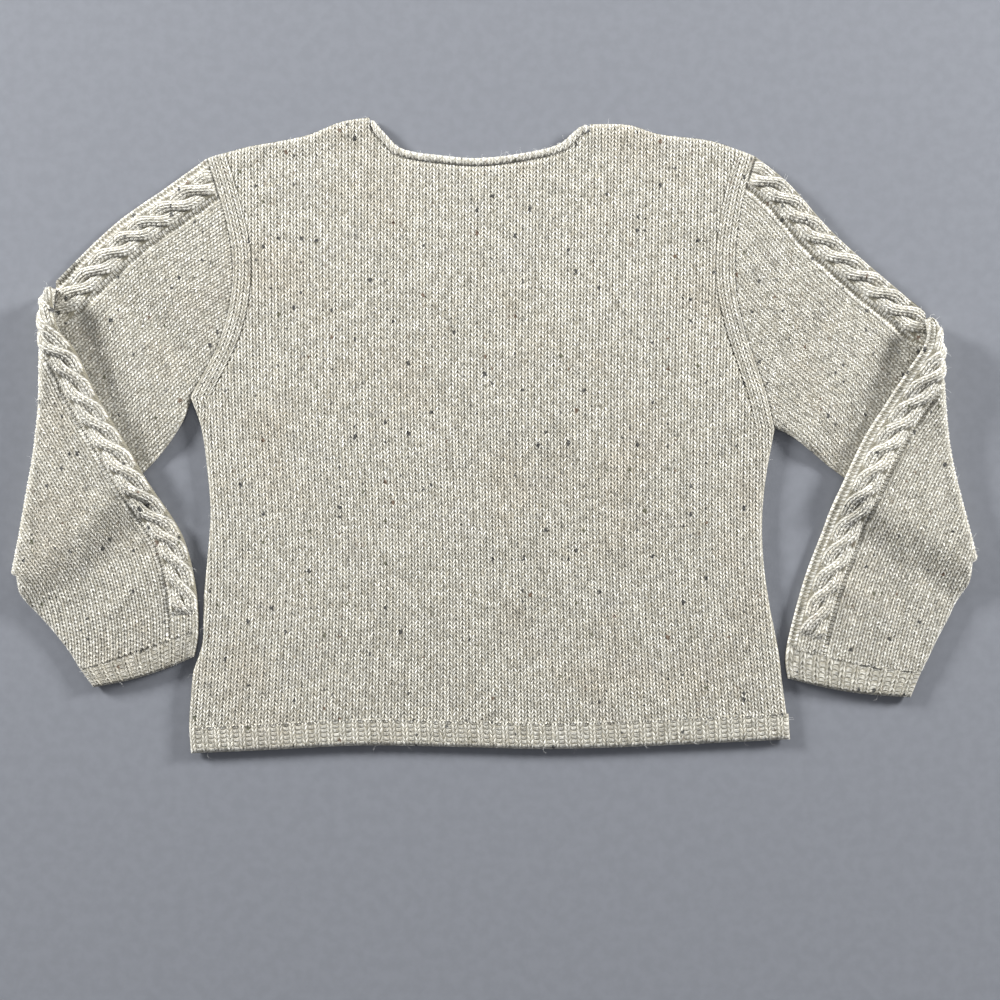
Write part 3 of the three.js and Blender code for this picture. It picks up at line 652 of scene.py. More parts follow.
def neck_roll(neck, level, height, is_fine):
    """The rolled edge round the neck: a ring of stitches that follows the neck's outline."""
    count, around = (340, 17) if is_fine else (60, 9)
    inset = 0.6
    key = np.linspace(neck["x"][0] + inset, neck["x"][-1] - inset, 900)
    y, depth = neck_height(neck, key)
    length = np.concatenate([[0], np.cumsum(np.hypot(np.diff(key), np.diff(y)))])
    at = np.linspace(0, length[-1], count)
    x = np.interp(at, length, key)
    y = np.interp(at, length, y)
    depth = np.interp(at, length, depth)
    end = np.minimum(at, length[-1] - at)
    taper = np.sqrt(np.clip(end / 4, 0, 1))
    turn = np.linspace(0, 2 * np.pi, around)
    bead = beads(at / NECK_STITCH)
    turn, at = np.meshgrid(turn, at)
    bead = np.broadcast_to(bead[:, None], turn.shape)
    wide = (depth[:, None] / 2 - 0.2 + 0.45 * bead) * taper[:, None]
    tall = (height / 2 - 0.25 + 0.5 * bead) * taper[:, None]
    points = np.stack(
        [
            np.broadcast_to(x[:, None], turn.shape),
            y[:, None] - depth[:, None] / 2 + wide * np.cos(turn),
            level + height / 2 + tall * np.sin(turn),
        ],
        axis=-1,
    )
    stitches = np.stack([at / NECK_STITCH + FIRST_WALE["neck"], 2.5 * turn / np.pi], axis=-1)
    # Painted shade between the beads of the roll, and more on its lower side, under the roll
    hollow = 0.65 * (1 - bead) + 0.25 * (np.sin(turn) < 0.2)
    quads = quads_of(turn.shape)
    return points.reshape(-1, 3), quads, stitches.reshape(-1, 2), hollow.ravel()


# Sleeves


def last_section(part):
    """The share of a part's sections where its stitches end: the elbow, or the cuff's seam."""
    return 1.0 if part == "upper" else (CUFF_SECTIONS["seam"] - 0.02) / CUFF_SECTIONS["last"]


def width_at(side, part, t):
    """How wide the pressed sleeve is between its two edges."""
    outer = through(SLEEVES[side][part]["outer"], t)
    return np.linalg.norm(through(SLEEVES[side][part]["under"], t) - outer, axis=1)


def sleeve_creases(x, y):
    """The creases of the sleeves with the slow ups and downs of their cloth."""
    return creases(SLEEVE_CREASES, x, y) + 1.3 * uneven(x + 40, y - 25)


def rows_in_outline(start, into, outline, edges, place):
    """Plan points at a place along each row, kept within the outline, and how far each is from
    the outer edge, the under edge, and the nearer end of its row. Rows that miss the outline
    give points that are nan."""
    near, far = row_span(start, into, outline)
    reach = np.clip(place, near, far)
    x, y = (start + into * reach[:, None]).T
    plan = np.nan_to_num(np.stack([x, y], axis=1), nan=1e4)
    to_outer, to_under = (distance_to(edge, plan) for edge in edges)
    return x, y, plan, to_outer, to_under, np.minimum(reach - near, far - reach)


def sleeve_plan(side, part, t, share, gap=SEAM_GAP):
    """Plan position on a sleeve at a share t of a part's sections and a share of the way from
    its outer edge to its under edge."""
    sleeve = SLEEVES[side]
    inward = sleeve["inward"]
    outer = through(sleeve[part]["outer"], t)
    chord = through(sleeve[part]["under"], t) - outer
    square = inward * turned(unit(chord))
    t, arch = t[..., None], np.sin(np.pi * share)[..., None]
    if part == "folded":
        return outer + chord * share[..., None] + square * arch * (
            FOLD_BOW * (1 - t) ** 2 * (1 - t) + CUFF_BOW * t
        )
    level = np.array([inward, 0.0])
    into = unit(level + (square - level) * t)
    armhole = smooth_table(ARMHOLES["share"], ARMHOLES[side], share)[..., None]
    near = (1 - t) ** 2
    bow = FOLD_BOW * arch * (1 - near) + armhole * near - gap * (1 - t)
    return outer + chord * share[..., None] + into * bow


def fold_frame(side):
    """The fold's outer end, the way along it, the way in over the upper arm, and its length."""
    fold = SLEEVES[side]["folded"]
    start = np.array(fold["outer"][0])
    chord = np.array(fold["under"][0]) - start
    length = np.linalg.norm(chord)
    along = chord / length
    return start, along, SLEEVES[side]["inward"] * turned(along), length


def rest_height(side, x, y, rope_height):
    """The height of the folded part's underside: it lies on the upper arm and drops to the
    floor past it, and it stands higher near the outer end of the fold."""
    sleeve = SLEEVES[side]
    upper = sleeve["upper"]

    def beside(edge):
        """How far inward of a straightened edge of the upper arm a place is."""
        start, end = np.array(upper[edge][2]), np.array(upper[edge][-1])
        step = end - start
        cross = step[0] * (y - start[1]) - step[1] * (x - start[0])
        return sleeve["inward"] * cross / np.linalg.norm(step)

    inside = 1 - smoothstep(beside("under"), 0, DROP)
    lift = 1 - smoothstep(beside("outer"), *LIFT_REACH)
    return inside * (LAID + 2 * SEAM_GAP + (rope_height + FOLD_LIFT) * lift)


def part_outline(side, part):
    """The closed outline of a sleeve part in plan, with its outer and under edges. The folded
    part's runs on past the fold for the cloth that goes round the bend."""
    end = last_section(part)
    t = np.linspace(0, end, 90)
    share = np.linspace(0, 1, 60)
    outer = sleeve_plan(side, part, t, np.zeros_like(t))
    under = sleeve_plan(side, part, t, np.ones_like(t))
    last = sleeve_plan(side, part, np.full_like(share, end), share)
    if part == "folded":
        reach = BEND_REACH * fold_frame(side)[2]
        outer = np.vstack([outer[:1] - reach, outer])
        under = np.vstack([under[:1] - reach, under])
        return np.vstack([outer, last[1:-1], under[::-1]]), outer, under
    first = sleeve_plan(side, part, np.zeros_like(share), share, -TUCK)
    return np.vstack([outer, last[1:-1], under[::-1], first[::-1][1:-1]]), outer, under


def cable_guide(side, part, along, follows_edge):
    """Start and direction of each course of a sleeve part, by its length along the outer edge.
    Plain courses keep the part's own lean, and the cable's follow the edge."""
    line = through(SLEEVES[side][part]["outer"], np.linspace(0, last_section(part), 300))
    step = np.diff(line, axis=0)
    lengths = np.concatenate([[0], np.cumsum(np.linalg.norm(step, axis=1))])
    inside = np.clip(along, 0, lengths[-1])
    start = np.stack([np.interp(inside, lengths, line[:, k]) for k in (0, 1)], axis=-1)
    lean = np.radians(np.interp(inside, [0, lengths[-1]], SLEEVES[side][part]["lean"]))
    if follows_edge:
        angle = np.unwrap(np.arctan2(step[:, 1], step[:, 0]))
        middle = (lengths[1:] + lengths[:-1]) / 2
        sample = np.linspace(-14, 14, 15)
        around = np.clip(inside[:, None] + sample, 0, lengths[-1])
        lean = np.interp(around, middle, angle).mean(axis=1)
    way = np.stack([np.cos(lean), np.sin(lean)], axis=-1)
    left_turn = (SLEEVES[side]["inward"] > 0) == (part == "upper")
    into = turned(way) if left_turn else -turned(way)
    return start + (along - inside)[:, None] * way, into, lengths[-1]


def row_span(start, into, outline):
    """How far along each row the closed outline begins and ends. Rows that miss it get nan."""
    offset = outline[None] - start[:, None]
    beside = offset[..., 0] * into[:, None, 1] - offset[..., 1] * into[:, None, 0]
    ahead = (offset * into[:, None]).sum(axis=-1)
    beside_next, ahead_next = np.roll(beside, -1, axis=1), np.roll(ahead, -1, axis=1)
    crosses = (beside > 0) != (beside_next > 0)
    gap = np.where(crosses, beside - beside_next, 1)
    at = ahead + beside / gap * (ahead_next - ahead)
    crosses &= at > -3
    near = np.where(crosses, at, np.inf).min(axis=1)
    far = np.where(crosses, at, -np.inf).max(axis=1)
    missed = ~crosses.any(axis=1) | (far - near < 0.5)
    return np.where(missed, np.nan, np.maximum(near, 0)), np.where(missed, np.nan, far)


def corner_round(to_outer):
    """The share of the bend's bulge that is left near the outer edge, whose corner is round."""
    return 0.1 + 0.9 * np.sqrt(np.clip(1 - (1 - np.clip(to_outer / 24, 0, 1)) ** 2, 0, 1))


def corner_tuck(side, x, y):
    """How far the cloth near the outer end of the fold is drawn in, along the fold."""
    start, along, into, _ = fold_frame(side)
    away = np.hypot(x - start[0], y - start[1])
    drawn = CORNER_TUCK["depth"] * bell(away, CORNER_TUCK["reach"])
    way = along + 0.3 * into
    return drawn * way[0], drawn * way[1]


def on_sleeve(side, part, x, y, to_outer, to_under, relief, rope_height):
    """Puts plan points on the face of a sleeve that shows. The upper part sinks into a valley
    beside the folded one. On the folded part, points past the fold go round the bend, whose
    radius is half the height that the fold stands, and end on the floor."""
    dome = edge_dome(np.minimum(to_outer, to_under))
    soft = sleeve_creases(x, y)
    thick = SEAM_HALF + (MIDDLE - SEAM_HALF) * dome
    thick += (relief + soft * dome) * np.minimum(dome * 1.5, 1)
    if part == "upper":
        plan = np.nan_to_num(np.stack([x, y], axis=1), nan=1e4)
        folded_edge = through(SLEEVES[side]["folded"]["outer"], np.linspace(0, 1, 40))
        beside = distance_to(folded_edge, plan)
        valley = VALLEY["depth"] * (1 - smoothstep(beside, *VALLEY["reach"]))
        brow = VALLEY["brow"] * bell(beside - 48, 12)
        return np.stack([x, y, MIDDLE + thick + (brow - valley) * dome], axis=1)
    start, along, into, length = fold_frame(side)
    offset_x, offset_y = x - start[0], y - start[1]
    down = np.clip((offset_x * along[0] + offset_y * along[1]) / length, 0, 1)
    inner = offset_x * into[0] + offset_y * into[1]
    fold = FOLD_BOW * np.sin(np.pi * down)
    past = np.maximum(fold - inner, 0)
    fold_x, fold_y = x + past * into[0], y + past * into[1]
    rest = rest_height(side, fold_x, fold_y, rope_height)
    full = rest / 2 + MIDDLE
    turn = np.minimum(past / full, np.pi)
    reach = rest / 2 + thick
    bulge = reach * np.sin(turn) * corner_round(to_outer)
    tuck_x, tuck_y = corner_tuck(side, fold_x, fold_y)
    fold_x += tuck_x - bulge * into[0]
    fold_y += tuck_y - bulge * into[1]
    z = np.maximum(MIDDLE + rest / 2 + reach * np.cos(turn), ON_FLOOR)
    return np.stack([fold_x, fold_y, z], axis=1)


def purl_gutter(distance, course, depth):
    """Relief and painted shade of a purl gutter that is 0 to 1 wide: low, with a hole at each course,
    where the shade is painted darkest.
    """
    trough = np.sin(np.pi * np.clip(distance, 0, 1))
    bar = beads(course)
    return -depth * trough + 0.7 * trough * bar, trough * (0.5 + 0.9 * (1 - bar))


def sleeve_face(side, part, relief, rope, wale_width, course_height):
    """The plain stitches of the face of a sleeve part that shows, with its purl gutters. The
    grid is left open below the rope."""
    outline, outer, under = part_outline(side, part)
    first, last = (int(end / course_height) for end in ROWS_REACH[part])
    wale, course, quads = stitch_grid(SLEEVE_WALES, first, last)
    start, into, length = cable_guide(side, part, course * course_height, False)
    x, y, _, to_outer, to_under, to_seam = rows_in_outline(
        start, into, outline, (outer, under), wale * wale_width
    )

    legs = uneven_legs(wale, course)
    # Painted shade between the legs of the stitches, a little more away from the ends of the rows, and
    # in the purl gutters
    hollow, purl = 0.85 * (1 - legs), np.zeros(len(x))
    hollow += 0.15 * (1 - legs) * smoothstep(to_seam, 0, 6)
    legs *= 0.55 + 0.45 * smoothstep(to_seam, -0.5, 2.5)
    height = relief * (legs - 0.5)
    cable_start = LADDER_WIDTH if SLEEVES[side]["ladder"] == part else 0.0
    cable_end = cable_start + rope["width"]
    places = [(cable_end, GUTTER_WIDTHS[part])]
    if cable_start:
        places.append((0.0, LADDER_WIDTH))
    for begin, width in places:
        low, dark = purl_gutter((to_outer - begin) / width, course, 1.7)
        inside = (to_outer > begin) & (to_outer < begin + width)
        height = np.where(inside, low + 0.25 * relief * (legs - 0.5), height)
        hollow = np.where(inside, np.clip(dark, 0, 1.4), hollow)
        purl = np.where(inside, 1, purl)
    under_rope = (to_outer > cable_start + 1.5) & (to_outer < cable_end - 1.5)
    if part == "folded":
        under_rope &= course * course_height < length - 21
    height = np.where(under_rope, -1.0, height)
    if part == "upper":
        under_body = SLEEVES[side]["inward"] * (x - body_edge(side, y))
        height -= 1.2 * smoothstep(under_body, -1.2, 0.6)
    points = on_sleeve(side, part, x, y, to_outer, to_under, height, rope["height"])
    hidden = under_rope[quads].all(axis=1) & (to_outer[quads] < cable_end - 4).all(axis=1)
    offset = FIRST_WALE[side] + (FIRST_WALE["upper"] if part == "upper" else 0)
    stitches = np.stack([wale + offset, course + FIRST_COURSE, purl], axis=1)
    return points, quads[~hidden], stitches, hollow


def rope_face(side, part, relief, rope, course_height):
    """The rope on the face that shows. Each crossing is a strand that slants from one side of
    the rope to the other, with a round section, highest in its middle and low at its ends. Each
    point takes the height of the strand on top, and the relief of its stitches."""
    outline, outer, under = part_outline(side, part)
    _, _, length = cable_guide(side, part, np.zeros(1), True)
    begin, end = (-2, length + 30) if part == "upper" else (-34, length - 9)
    along = np.arange(begin, end, 1.0)
    v, along, quads = grid_of(np.linspace(-1.04, 1.04, 43), along)
    start, into, _ = cable_guide(side, part, along, True)
    cable_start = LADDER_WIDTH if SLEEVES[side]["ladder"] == part else 0.0
    x, y, plan, to_outer, to_under, _ = rows_in_outline(
        start, into, outline, (outer, under), cable_start + (v + 1) / 2 * rope["width"]
    )

    upper_length = cable_guide(side, "upper", np.zeros(1), True)[2]
    whole = along + (upper_length if part == "folded" else 0)
    nearest = np.round(whole / rope["pitch"])
    heights, places = [], []
    for crossing in (nearest - 1, nearest, nearest + 1):
        at = whole / rope["pitch"] - crossing
        middle = -0.54 * np.sin(np.pi / 2 * np.clip(at / 0.6, -1, 1))
        place = (v - middle) / (0.5 - 0.06 * np.abs(at))
        lift = 0.35 + 0.65 * np.cos(np.pi / 2 * np.clip(at / 1.05, -1, 1)) ** 1.3
        ends = smoothstep(np.abs(at), 1.12, 0.92)
        heights.append(lift * np.sqrt(np.clip(1 - place**2, 0, 1)) * ends)
        places.append(place)
    heights, places = np.array(heights), np.array(places)
    top = heights.argmax(axis=0)
    strand = heights.max(axis=0)
    second = np.sort(heights, axis=0)[1]
    place = np.take_along_axis(places, top[None], axis=0)[0]
    wale = (np.clip(place, -1, 1) + 1) / 2 * ROPE_STITCHES
    course = whole / course_height
    legs = leg_relief(wale, course)
    body = rope["height"] * np.maximum(strand, 0.25)
    height = 1.2 * body + 1.0 * relief * (legs - 0.5) * np.clip(strand * 1.6, 0, 1)
    edge = smoothstep(np.abs(v), 1.04, 0.9)
    height = height * edge - 1.6 * (1 - edge)
    if part == "upper":
        fade = smoothstep(upper_length - along, -30, ROPE_FADE - 18)
        seam = sleeve_plan(side, part, np.zeros(60), np.linspace(0, 1, 60))
        from_seam = distance_to(seam, plan)
        fade = fade * smoothstep(from_seam, 0, ROPE_FADE / 2)
        height = height * fade - 1.3 * bell(from_seam, 2.4)
    else:
        sunk = smoothstep(length - along, 24, 10)
        height = height * (1 - sunk) - 1.8 * sunk
    points = on_sleeve(side, part, x, y, to_outer, to_under, height, rope["height"])
    # Painted shade where two strands meet, where a strand runs low, between the legs and at the rope's
    # sides, with a little over the whole rope
    shadowed = 0.65 * np.clip(1 - (strand - second) / 0.16, 0, 1)
    shadowed += 0.3 * np.clip(1 - strand / 0.4, 0, 1)
    hollow = np.clip(0.14 + 0.75 * (1 - legs) + shadowed + 0.6 * (1 - edge), 0, 1.4)
    offset = FIRST_WALE["rope"] + 20 * ((nearest + top) % 3)
    offset += FIRST_WALE["upper"] if part == "upper" else 0
    stitches = np.stack([wale + offset, course + FIRST_COURSE], axis=1)
    return points, quads, stitches, hollow


def plain_sleeve(side, part, rope):
    """The face of a sleeve part that doesn't show from above: the upper part's lies on the
    floor, and the folded part's comes round the inside of the bend and lies on the upper arm."""
    near = np.array([0, 0.3, 1.2, 3, 5]) / 200
    share = np.concatenate([near, np.linspace(0.06, 0.94, 26), 1 - near[::-1]])
    bend = 10 if part == "folded" else 0
    rows = np.concatenate([np.zeros(bend), np.linspace(0, last_section(part), 60)])
    turns = np.concatenate([np.linspace(0, np.pi, bend, endpoint=False), np.full(60, np.pi)])
    turn = np.repeat(turns, len(share))
    share, t, quads = grid_of(share, rows)
    x, y = sleeve_plan(side, part, t, share).T
    length = width_at(side, part, t)
    dome = edge_dome(np.minimum(share, 1 - share) * length)
    thick = SEAM_HALF + (MIDDLE - SEAM_HALF) * dome
    rest = rest_height(side, x, y, rope["height"])
    stitches = np.stack([share * 34 + FIRST_WALE["sleeve_below"], t * 90 + turn * 2], axis=1)
    if part == "upper":
        points = np.stack([x, y, MIDDLE - thick], axis=1)
        return points, quads, stitches, np.full(len(x), 0.3)
    reach = rest / 2 - thick
    into = fold_frame(side)[2]
    bulge = reach * np.sin(turn) * corner_round(share * length)
    tuck_x, tuck_y = corner_tuck(side, x, y)
    x += tuck_x - bulge * into[0]
    y += tuck_y - bulge * into[1]
    points = np.stack([x, y, MIDDLE + rest / 2 - reach * np.cos(turn)], axis=1)
    return points, quads, stitches, np.full(len(x), 0.3)


def cuff_rib(side, is_top, relief, rope):
    """One layer of a cuff: knit wales stand up on the layer that shows, its end rounds off, and
    it starts a little before the seam to cover the sleeve's last stitches."""
    begin = (CUFF_SECTIONS["seam"] - (0.12 if is_top else 0.02)) / CUFF_SECTIONS["last"]
    courses = CUFF_RIB["courses"] + (1 if is_top else 0)
    wale, course, quads, share, up = rib_grid(CUFF_RIB["wales"], courses, is_top, 2)
    t = begin + (1 - begin) * up
    x, y = sleeve_plan(side, "folded", t, share).T
    length = width_at(side, "folded", t)
    to_edge = np.minimum(np.minimum(share, 1 - share) * length, (1 - up) * 25)
    dome = edge_dome(to_edge)
    thick = SEAM_HALF + (MIDDLE - SEAM_HALF) * dome
    rest = rest_height(side, x, y, rope["height"])
    wave, purl = rib_pattern(wale)
    stitches = np.stack([wale + FIRST_WALE["cuff"], course, purl], axis=1)
    if not is_top:
        points = np.stack([x, y, rest + MIDDLE - thick], axis=1)
        return points, quads, stitches, np.full(len(x), 0.3)
    legs = uneven_legs(wale, course)
    height = wave * (0.2 + relief * (legs - 0.3)) + (1 - wave) * (0.35 * beads(course) - 0.5)
    height -= 0.3 * smoothstep(up, 0.2, 0.1)
    height = (height + sleeve_creases(x, y) * (1 - up)) * dome
    points = np.stack([x, y, rest + MIDDLE + thick + height], axis=1)
    return points, quads, stitches, rib_painted_shade(wave, legs, 0.24)


# Stray fibres


def fibre_ribbons(roots, normals, length, width):
    """Thin ribbons that rise from their roots and curl over, three quads each."""
    count = len(roots)
    spin = rng.uniform(0, 2 * np.pi, count)
    curl = rng.normal(0, 1.1, count)
    size = length * rng.uniform(0.4, 1.5, count)
    rise = rng.uniform(0.15, 0.9, count)
    points = np.zeros((count, 4, 2, 3))
    for k in range(4):
        at = k / 3
        angle = spin + curl * at
        way = np.stack([np.cos(angle), np.sin(angle), np.zeros(count)], axis=1)
        beside = np.stack([-np.sin(angle), np.cos(angle), np.zeros(count)], axis=1)
        middle = roots + way * (size * at)[:, None]
        middle += normals * (rise * size * 0.6 * at * (1.25 - at))[:, None]
        half = width / 2 * (1 - 0.6 * at)
        points[:, k, 0] = middle + beside * half
        points[:, k, 1] = middle - beside * half
    corner = np.arange(count)[:, None] * 8 + np.array([0, 2, 4])
    corner = corner.ravel()
    quads = np.stack([corner, corner + 1, corner + 3, corner + 2], axis=1)
    return points.reshape(-1, 3), quads


def scatter_fibres(names, count, length, width):
    """Roots and normals at seeded places on named pieces, shared out by their numbers of
    points, and the ribbons that grow there."""
    roots, normals = [], []
    total = sum(len(bpy.data.objects[name].data.vertices) for name in names)
    for name in names:
        mesh = bpy.data.objects[name].data
        size = len(mesh.vertices)
        place, normal = np.empty(size * 3), np.empty(size * 3)
        mesh.vertices.foreach_get("co", place)
        mesh.vertices.foreach_get("normal", normal)
        shows = np.flatnonzero(normal[2::3] > 0)
        chosen = rng.choice(shows, min(int(count * size / total), len(shows)), replace=False)
        roots.append(place.reshape(-1, 3)[chosen] * 1000)
        normals.append(normal.reshape(-1, 3)[chosen])
    return fibre_ribbons(np.vstack(roots), np.vstack(normals), length, width)


# Materials


def node(tree, kind, **settings):
    """A new node, with its settings."""
    made = tree.nodes.new(kind)
    for key, value in settings.items():
        setattr(made, key, value)
    return made


def feed(tree, target, value):
    """Joins a socket to a target socket, or sets the target to a constant."""
    if isinstance(value, bpy.types.NodeSocket):
        tree.links.new(value, target)
    else:
        target.default_value = value


def calc(tree, operation, first, second=None, third=None):
    """The result of a sum, a product or another operation on sockets and numbers."""
    made = node(tree, "ShaderNodeMath", operation=operation)
    for socket, value in zip(made.inputs, (first, second, third)):
        if value is not None:
            feed(tree, socket, value)
    return made.outputs[0]


def ramp(tree, value, low, high, to_low=0.0, to_high=1.0):
    """A smooth rise of a value from low to high."""
    made = node(tree, "ShaderNodeMapRange", interpolation_type="SMOOTHSTEP")
    for socket, number in zip(made.inputs, (value, low, high, to_low, to_high)):
        feed(tree, socket, number)
    return made.outputs[0]


def blend(tree, factor, first, second, mode="MIX"):
    """A mix of two colours."""
    made = node(tree, "ShaderNodeMix", data_type="RGBA", blend_type=mode)
    feed(tree, made.inputs[0], factor)
    feed(tree, made.inputs[6], first)
    feed(tree, made.inputs[7], second)
    return made.outputs[2]


def vector(tree, x, y, z=0.0):
    """A vector of three sockets or numbers."""
    made = node(tree, "ShaderNodeCombineXYZ")
    for socket, value in zip(made.inputs, (x, y, z)):
        feed(tree, socket, value)
    return made.outputs[0]


def noise(tree, place, scale, detail=2.0, output=0):
    """Cloudy noise at a scale. Output 0 is a number, and output 1 a colour of three numbers."""
    made = node(tree, "ShaderNodeTexNoise")
    feed(tree, made.inputs["Vector"], place)
    made.inputs["Scale"].default_value = scale
    made.inputs["Detail"].default_value = detail
    return made.outputs[output]


def parts_of(tree, colour):
    """The three numbers of a colour."""
    made = node(tree, "ShaderNodeSeparateColor")
    feed(tree, made.inputs[0], colour)
    return made.outputs[:3]


def place_in_stitch(tree, spot):
    """The wale and course at a spot, a little uneven, then how far to the side of its wale the
    spot is and how far along the yarn. On purl stitches the legs lean the other way."""
    split = node(tree, "ShaderNodeSeparateXYZ")
    feed(tree, split.inputs[0], node(tree, "ShaderNodeUVMap", uv_map="stitches").outputs[0])
    sideways, lengthways, _ = parts_of(tree, noise(tree, spot, 190.0, output=1))
    wale = calc(tree, "MULTIPLY_ADD", sideways, 0.34, split.outputs[0])
    wale = calc(tree, "SUBTRACT", wale, 0.17)
    course = calc(tree, "MULTIPLY_ADD", lengthways, 0.6, split.outputs[1])
    middle = calc(tree, "SUBTRACT", calc(tree, "FRACT", wale), 0.5)
    knit_side = calc(tree, "MULTIPLY", calc(tree, "ABSOLUTE", middle), 2.0)
    purl = node(tree, "ShaderNodeAttribute", attribute_name="purl").outputs["Fac"]
    side = calc(tree, "MULTIPLY_ADD", purl, calc(tree, "SUBTRACT", 0.5, knit_side), knit_side)
    along = calc(tree, "SUBTRACT", course, calc(tree, "MULTIPLY", side, LEG_LEAN))
    return wale, course, side, along


def yarn_colour(tree, spot, wale, course, along, colours):
    """The colour of the yarn: a tone for each leg of a stitch, streaks of two plies along it,
    and soft patches of warmer and cooler wool."""
    leg = vector(
        tree,
        calc(tree, "FLOOR", calc(tree, "MULTIPLY", wale, 2.0)),
        calc(tree, "FLOOR", along),
    )
    chance = node(tree, "ShaderNodeTexWhiteNoise", noise_dimensions="3D")
    feed(tree, chance.inputs[0], leg)
    tone = parts_of(tree, chance.outputs["Color"])[0]

    streak_place = vector(
        tree, calc(tree, "MULTIPLY", along, 3.1), wale, calc(tree, "MULTIPLY", tone, 5.0)
    )
    streak = ramp(tree, noise(tree, streak_place, 1.0, 2.0), 0.42, 0.66)
    plies = blend(tree, streak, (*colours["light"], 1), (*colours["marl"], 1))
    warm = ramp(tree, noise(tree, spot, 11.0, 3.0), 0.48, 0.72, 0.0, 0.26)
    patchy = blend(tree, warm, plies, (*colours["beige"], 1))
    coarse = vector(tree, calc(tree, "MULTIPLY", wale, 0.13), calc(tree, "MULTIPLY", course, 0.11))
    cold = ramp(tree, noise(tree, coarse, 1.0, 2.0), 0.55, 0.75, 0.0, 0.3)
    patchy = blend(tree, cold, patchy, (*colours["cool"], 1))
    fine = vector(tree, calc(tree, "MULTIPLY", wale, 0.9), calc(tree, "MULTIPLY", course, 0.35))
    yarn_tone = ramp(tree, noise(tree, fine, 1.0, 3.0), 0.3, 0.7, 0.82, 1.06)
    leg_tone = calc(tree, "ADD", calc(tree, "MULTIPLY", tone, 0.5), 0.66)
    tint = calc(tree, "MULTIPLY", leg_tone, yarn_tone)
    return blend(tree, 1.0, patchy, vector(tree, tint, tint, tint), "MULTIPLY")


def with_flecks(tree, spot, coloured, colours, fleck_share):
    """A colour with uneven dots of dyed wool over it: some cells of a pattern hold a dot, more
    of them a faint one, and each dot has its own size and one of three dyes."""
    drift = node(tree, "ShaderNodeVectorMath", operation="MULTIPLY_ADD")
    feed(tree, drift.inputs[0], noise(tree, spot, 400.0, output=1))
    drift.inputs[1].default_value = (0.005, 0.005, 0.0)
    feed(tree, drift.inputs[2], spot)
    cells = node(tree, "ShaderNodeTexVoronoi", voronoi_dimensions="2D")
    drawn_out = node(tree, "ShaderNodeVectorMath", operation="MULTIPLY")
    feed(tree, drawn_out.inputs[0], drift.outputs[0])
    drawn_out.inputs[1].default_value = (1.0, 0.74, 1.0)
    feed(tree, cells.inputs["Vector"], drawn_out.outputs[0])
    cells.inputs["Scale"].default_value = 135.0
    kind, pick, size = parts_of(tree, cells.outputs["Color"])
    radius = calc(tree, "MULTIPLY_ADD", calc(tree, "POWER", size, 1.6), 0.15, 0.12)
    inside = calc(tree, "SUBTRACT", radius, cells.outputs["Distance"])
    dot = ramp(tree, inside, -0.03, 0.03)
    is_fleck = calc(tree, "LESS_THAN", kind, fleck_share)
    is_faint = calc(tree, "LESS_THAN", kind, fleck_share * 4.5)
    strength = calc(tree, "MULTIPLY_ADD", is_fleck, 0.58, calc(tree, "MULTIPLY", is_faint, 0.36))
    fleck = node(tree, "ShaderNodeValToRGB")
    fleck.color_ramp.interpolation = "CONSTANT"
    stops = fleck.color_ramp.elements
    stops[0].color = (*colours["dark_fleck"], 1)
    stops[1].position = 0.66
    stops[1].color = (*colours["brown_fleck"], 1)
    stops.new(0.84).color = (*colours["olive_fleck"], 1)
    feed(tree, fleck.inputs[0], pick)
    return blend(tree, calc(tree, "MULTIPLY", dot, strength), coloured, fleck.outputs[0])


def wool_material(name, colours, fleck_share, hollow_light):
    """Marled tweed wool with painted shade: its colour darkens toward the gaps beside each leg of yarn,
    and most in the hollows of the stitches. Flecks lie on it, and its fibres are a fine bump."""
    material = bpy.data.materials.new(name)
    material.use_nodes = True
    tree = material.node_tree
    tree.nodes.clear()
    spot = node(tree, "ShaderNodeTexCoord").outputs["Object"]
    wale, course, side, along = place_in_stitch(tree, spot)
    # Painted shade: the colour darkens toward the ends and edges of each leg, and more where the point
    # attribute read below marks a hollow of the stitches, blending toward the dark hollow colour. The
    # roundness also feeds the bump.
    yarn = calc(tree, "FRACT", along)
    bead = ramp(tree, calc(tree, "PINGPONG", yarn, 0.5), 0.0, 0.3)
    off_edge = calc(tree, "PINGPONG", side, 0.5)
    rounded = calc(tree, "MULTIPLY", bead, ramp(tree, off_edge, 0.0, 0.26))
    hollow = node(tree, "ShaderNodeAttribute", attribute_name="hollow").outputs["Fac"]
    open_sky = ramp(tree, hollow, 0.2, 1.1, 1.0, hollow_light)
    lit = calc(tree, "MULTIPLY", open_sky, ramp(tree, rounded, 0.0, 0.9, 0.34, 1.0))
    toned = yarn_colour(tree, spot, wale, course, along, colours)
    coloured = blend(tree, lit, (*colours["shadowed"], 1), toned)
    coloured = with_flecks(tree, spot, coloured, colours, fleck_share)

    fibres = noise(tree, spot, 2300.0, 2.0)
    twist_at = calc(tree, "ADD", calc(tree, "MULTIPLY", yarn, 2.0), calc(tree, "MULTIPLY", side, 4.0))
    twist = calc(tree, "PINGPONG", twist_at, 0.5)
    height = calc(tree, "ADD", calc(tree, "MULTIPLY_ADD", twist, 0.4, fibres), rounded)
    bump = node(tree, "ShaderNodeBump")
    bump.inputs["Strength"].default_value = 0.6
    bump.inputs["Distance"].default_value = 0.0007
    feed(tree, bump.inputs["Height"], height)

    shader = node(tree, "ShaderNodeBsdfPrincipled")
    feed(tree, shader.inputs["Base Color"], coloured)
    feed(tree, shader.inputs["Normal"], bump.outputs[0])
    shader.inputs["Roughness"].default_value = 0.95
    shader.inputs["Specular IOR Level"].default_value = 0.15
    shader.inputs["Sheen Weight"].default_value = 0.3
    shader.inputs["Sheen Roughness"].default_value = 0.6
    out = node(tree, "ShaderNodeOutputMaterial")
    tree.links.new(shader.outputs[0], out.inputs[0])
    return material


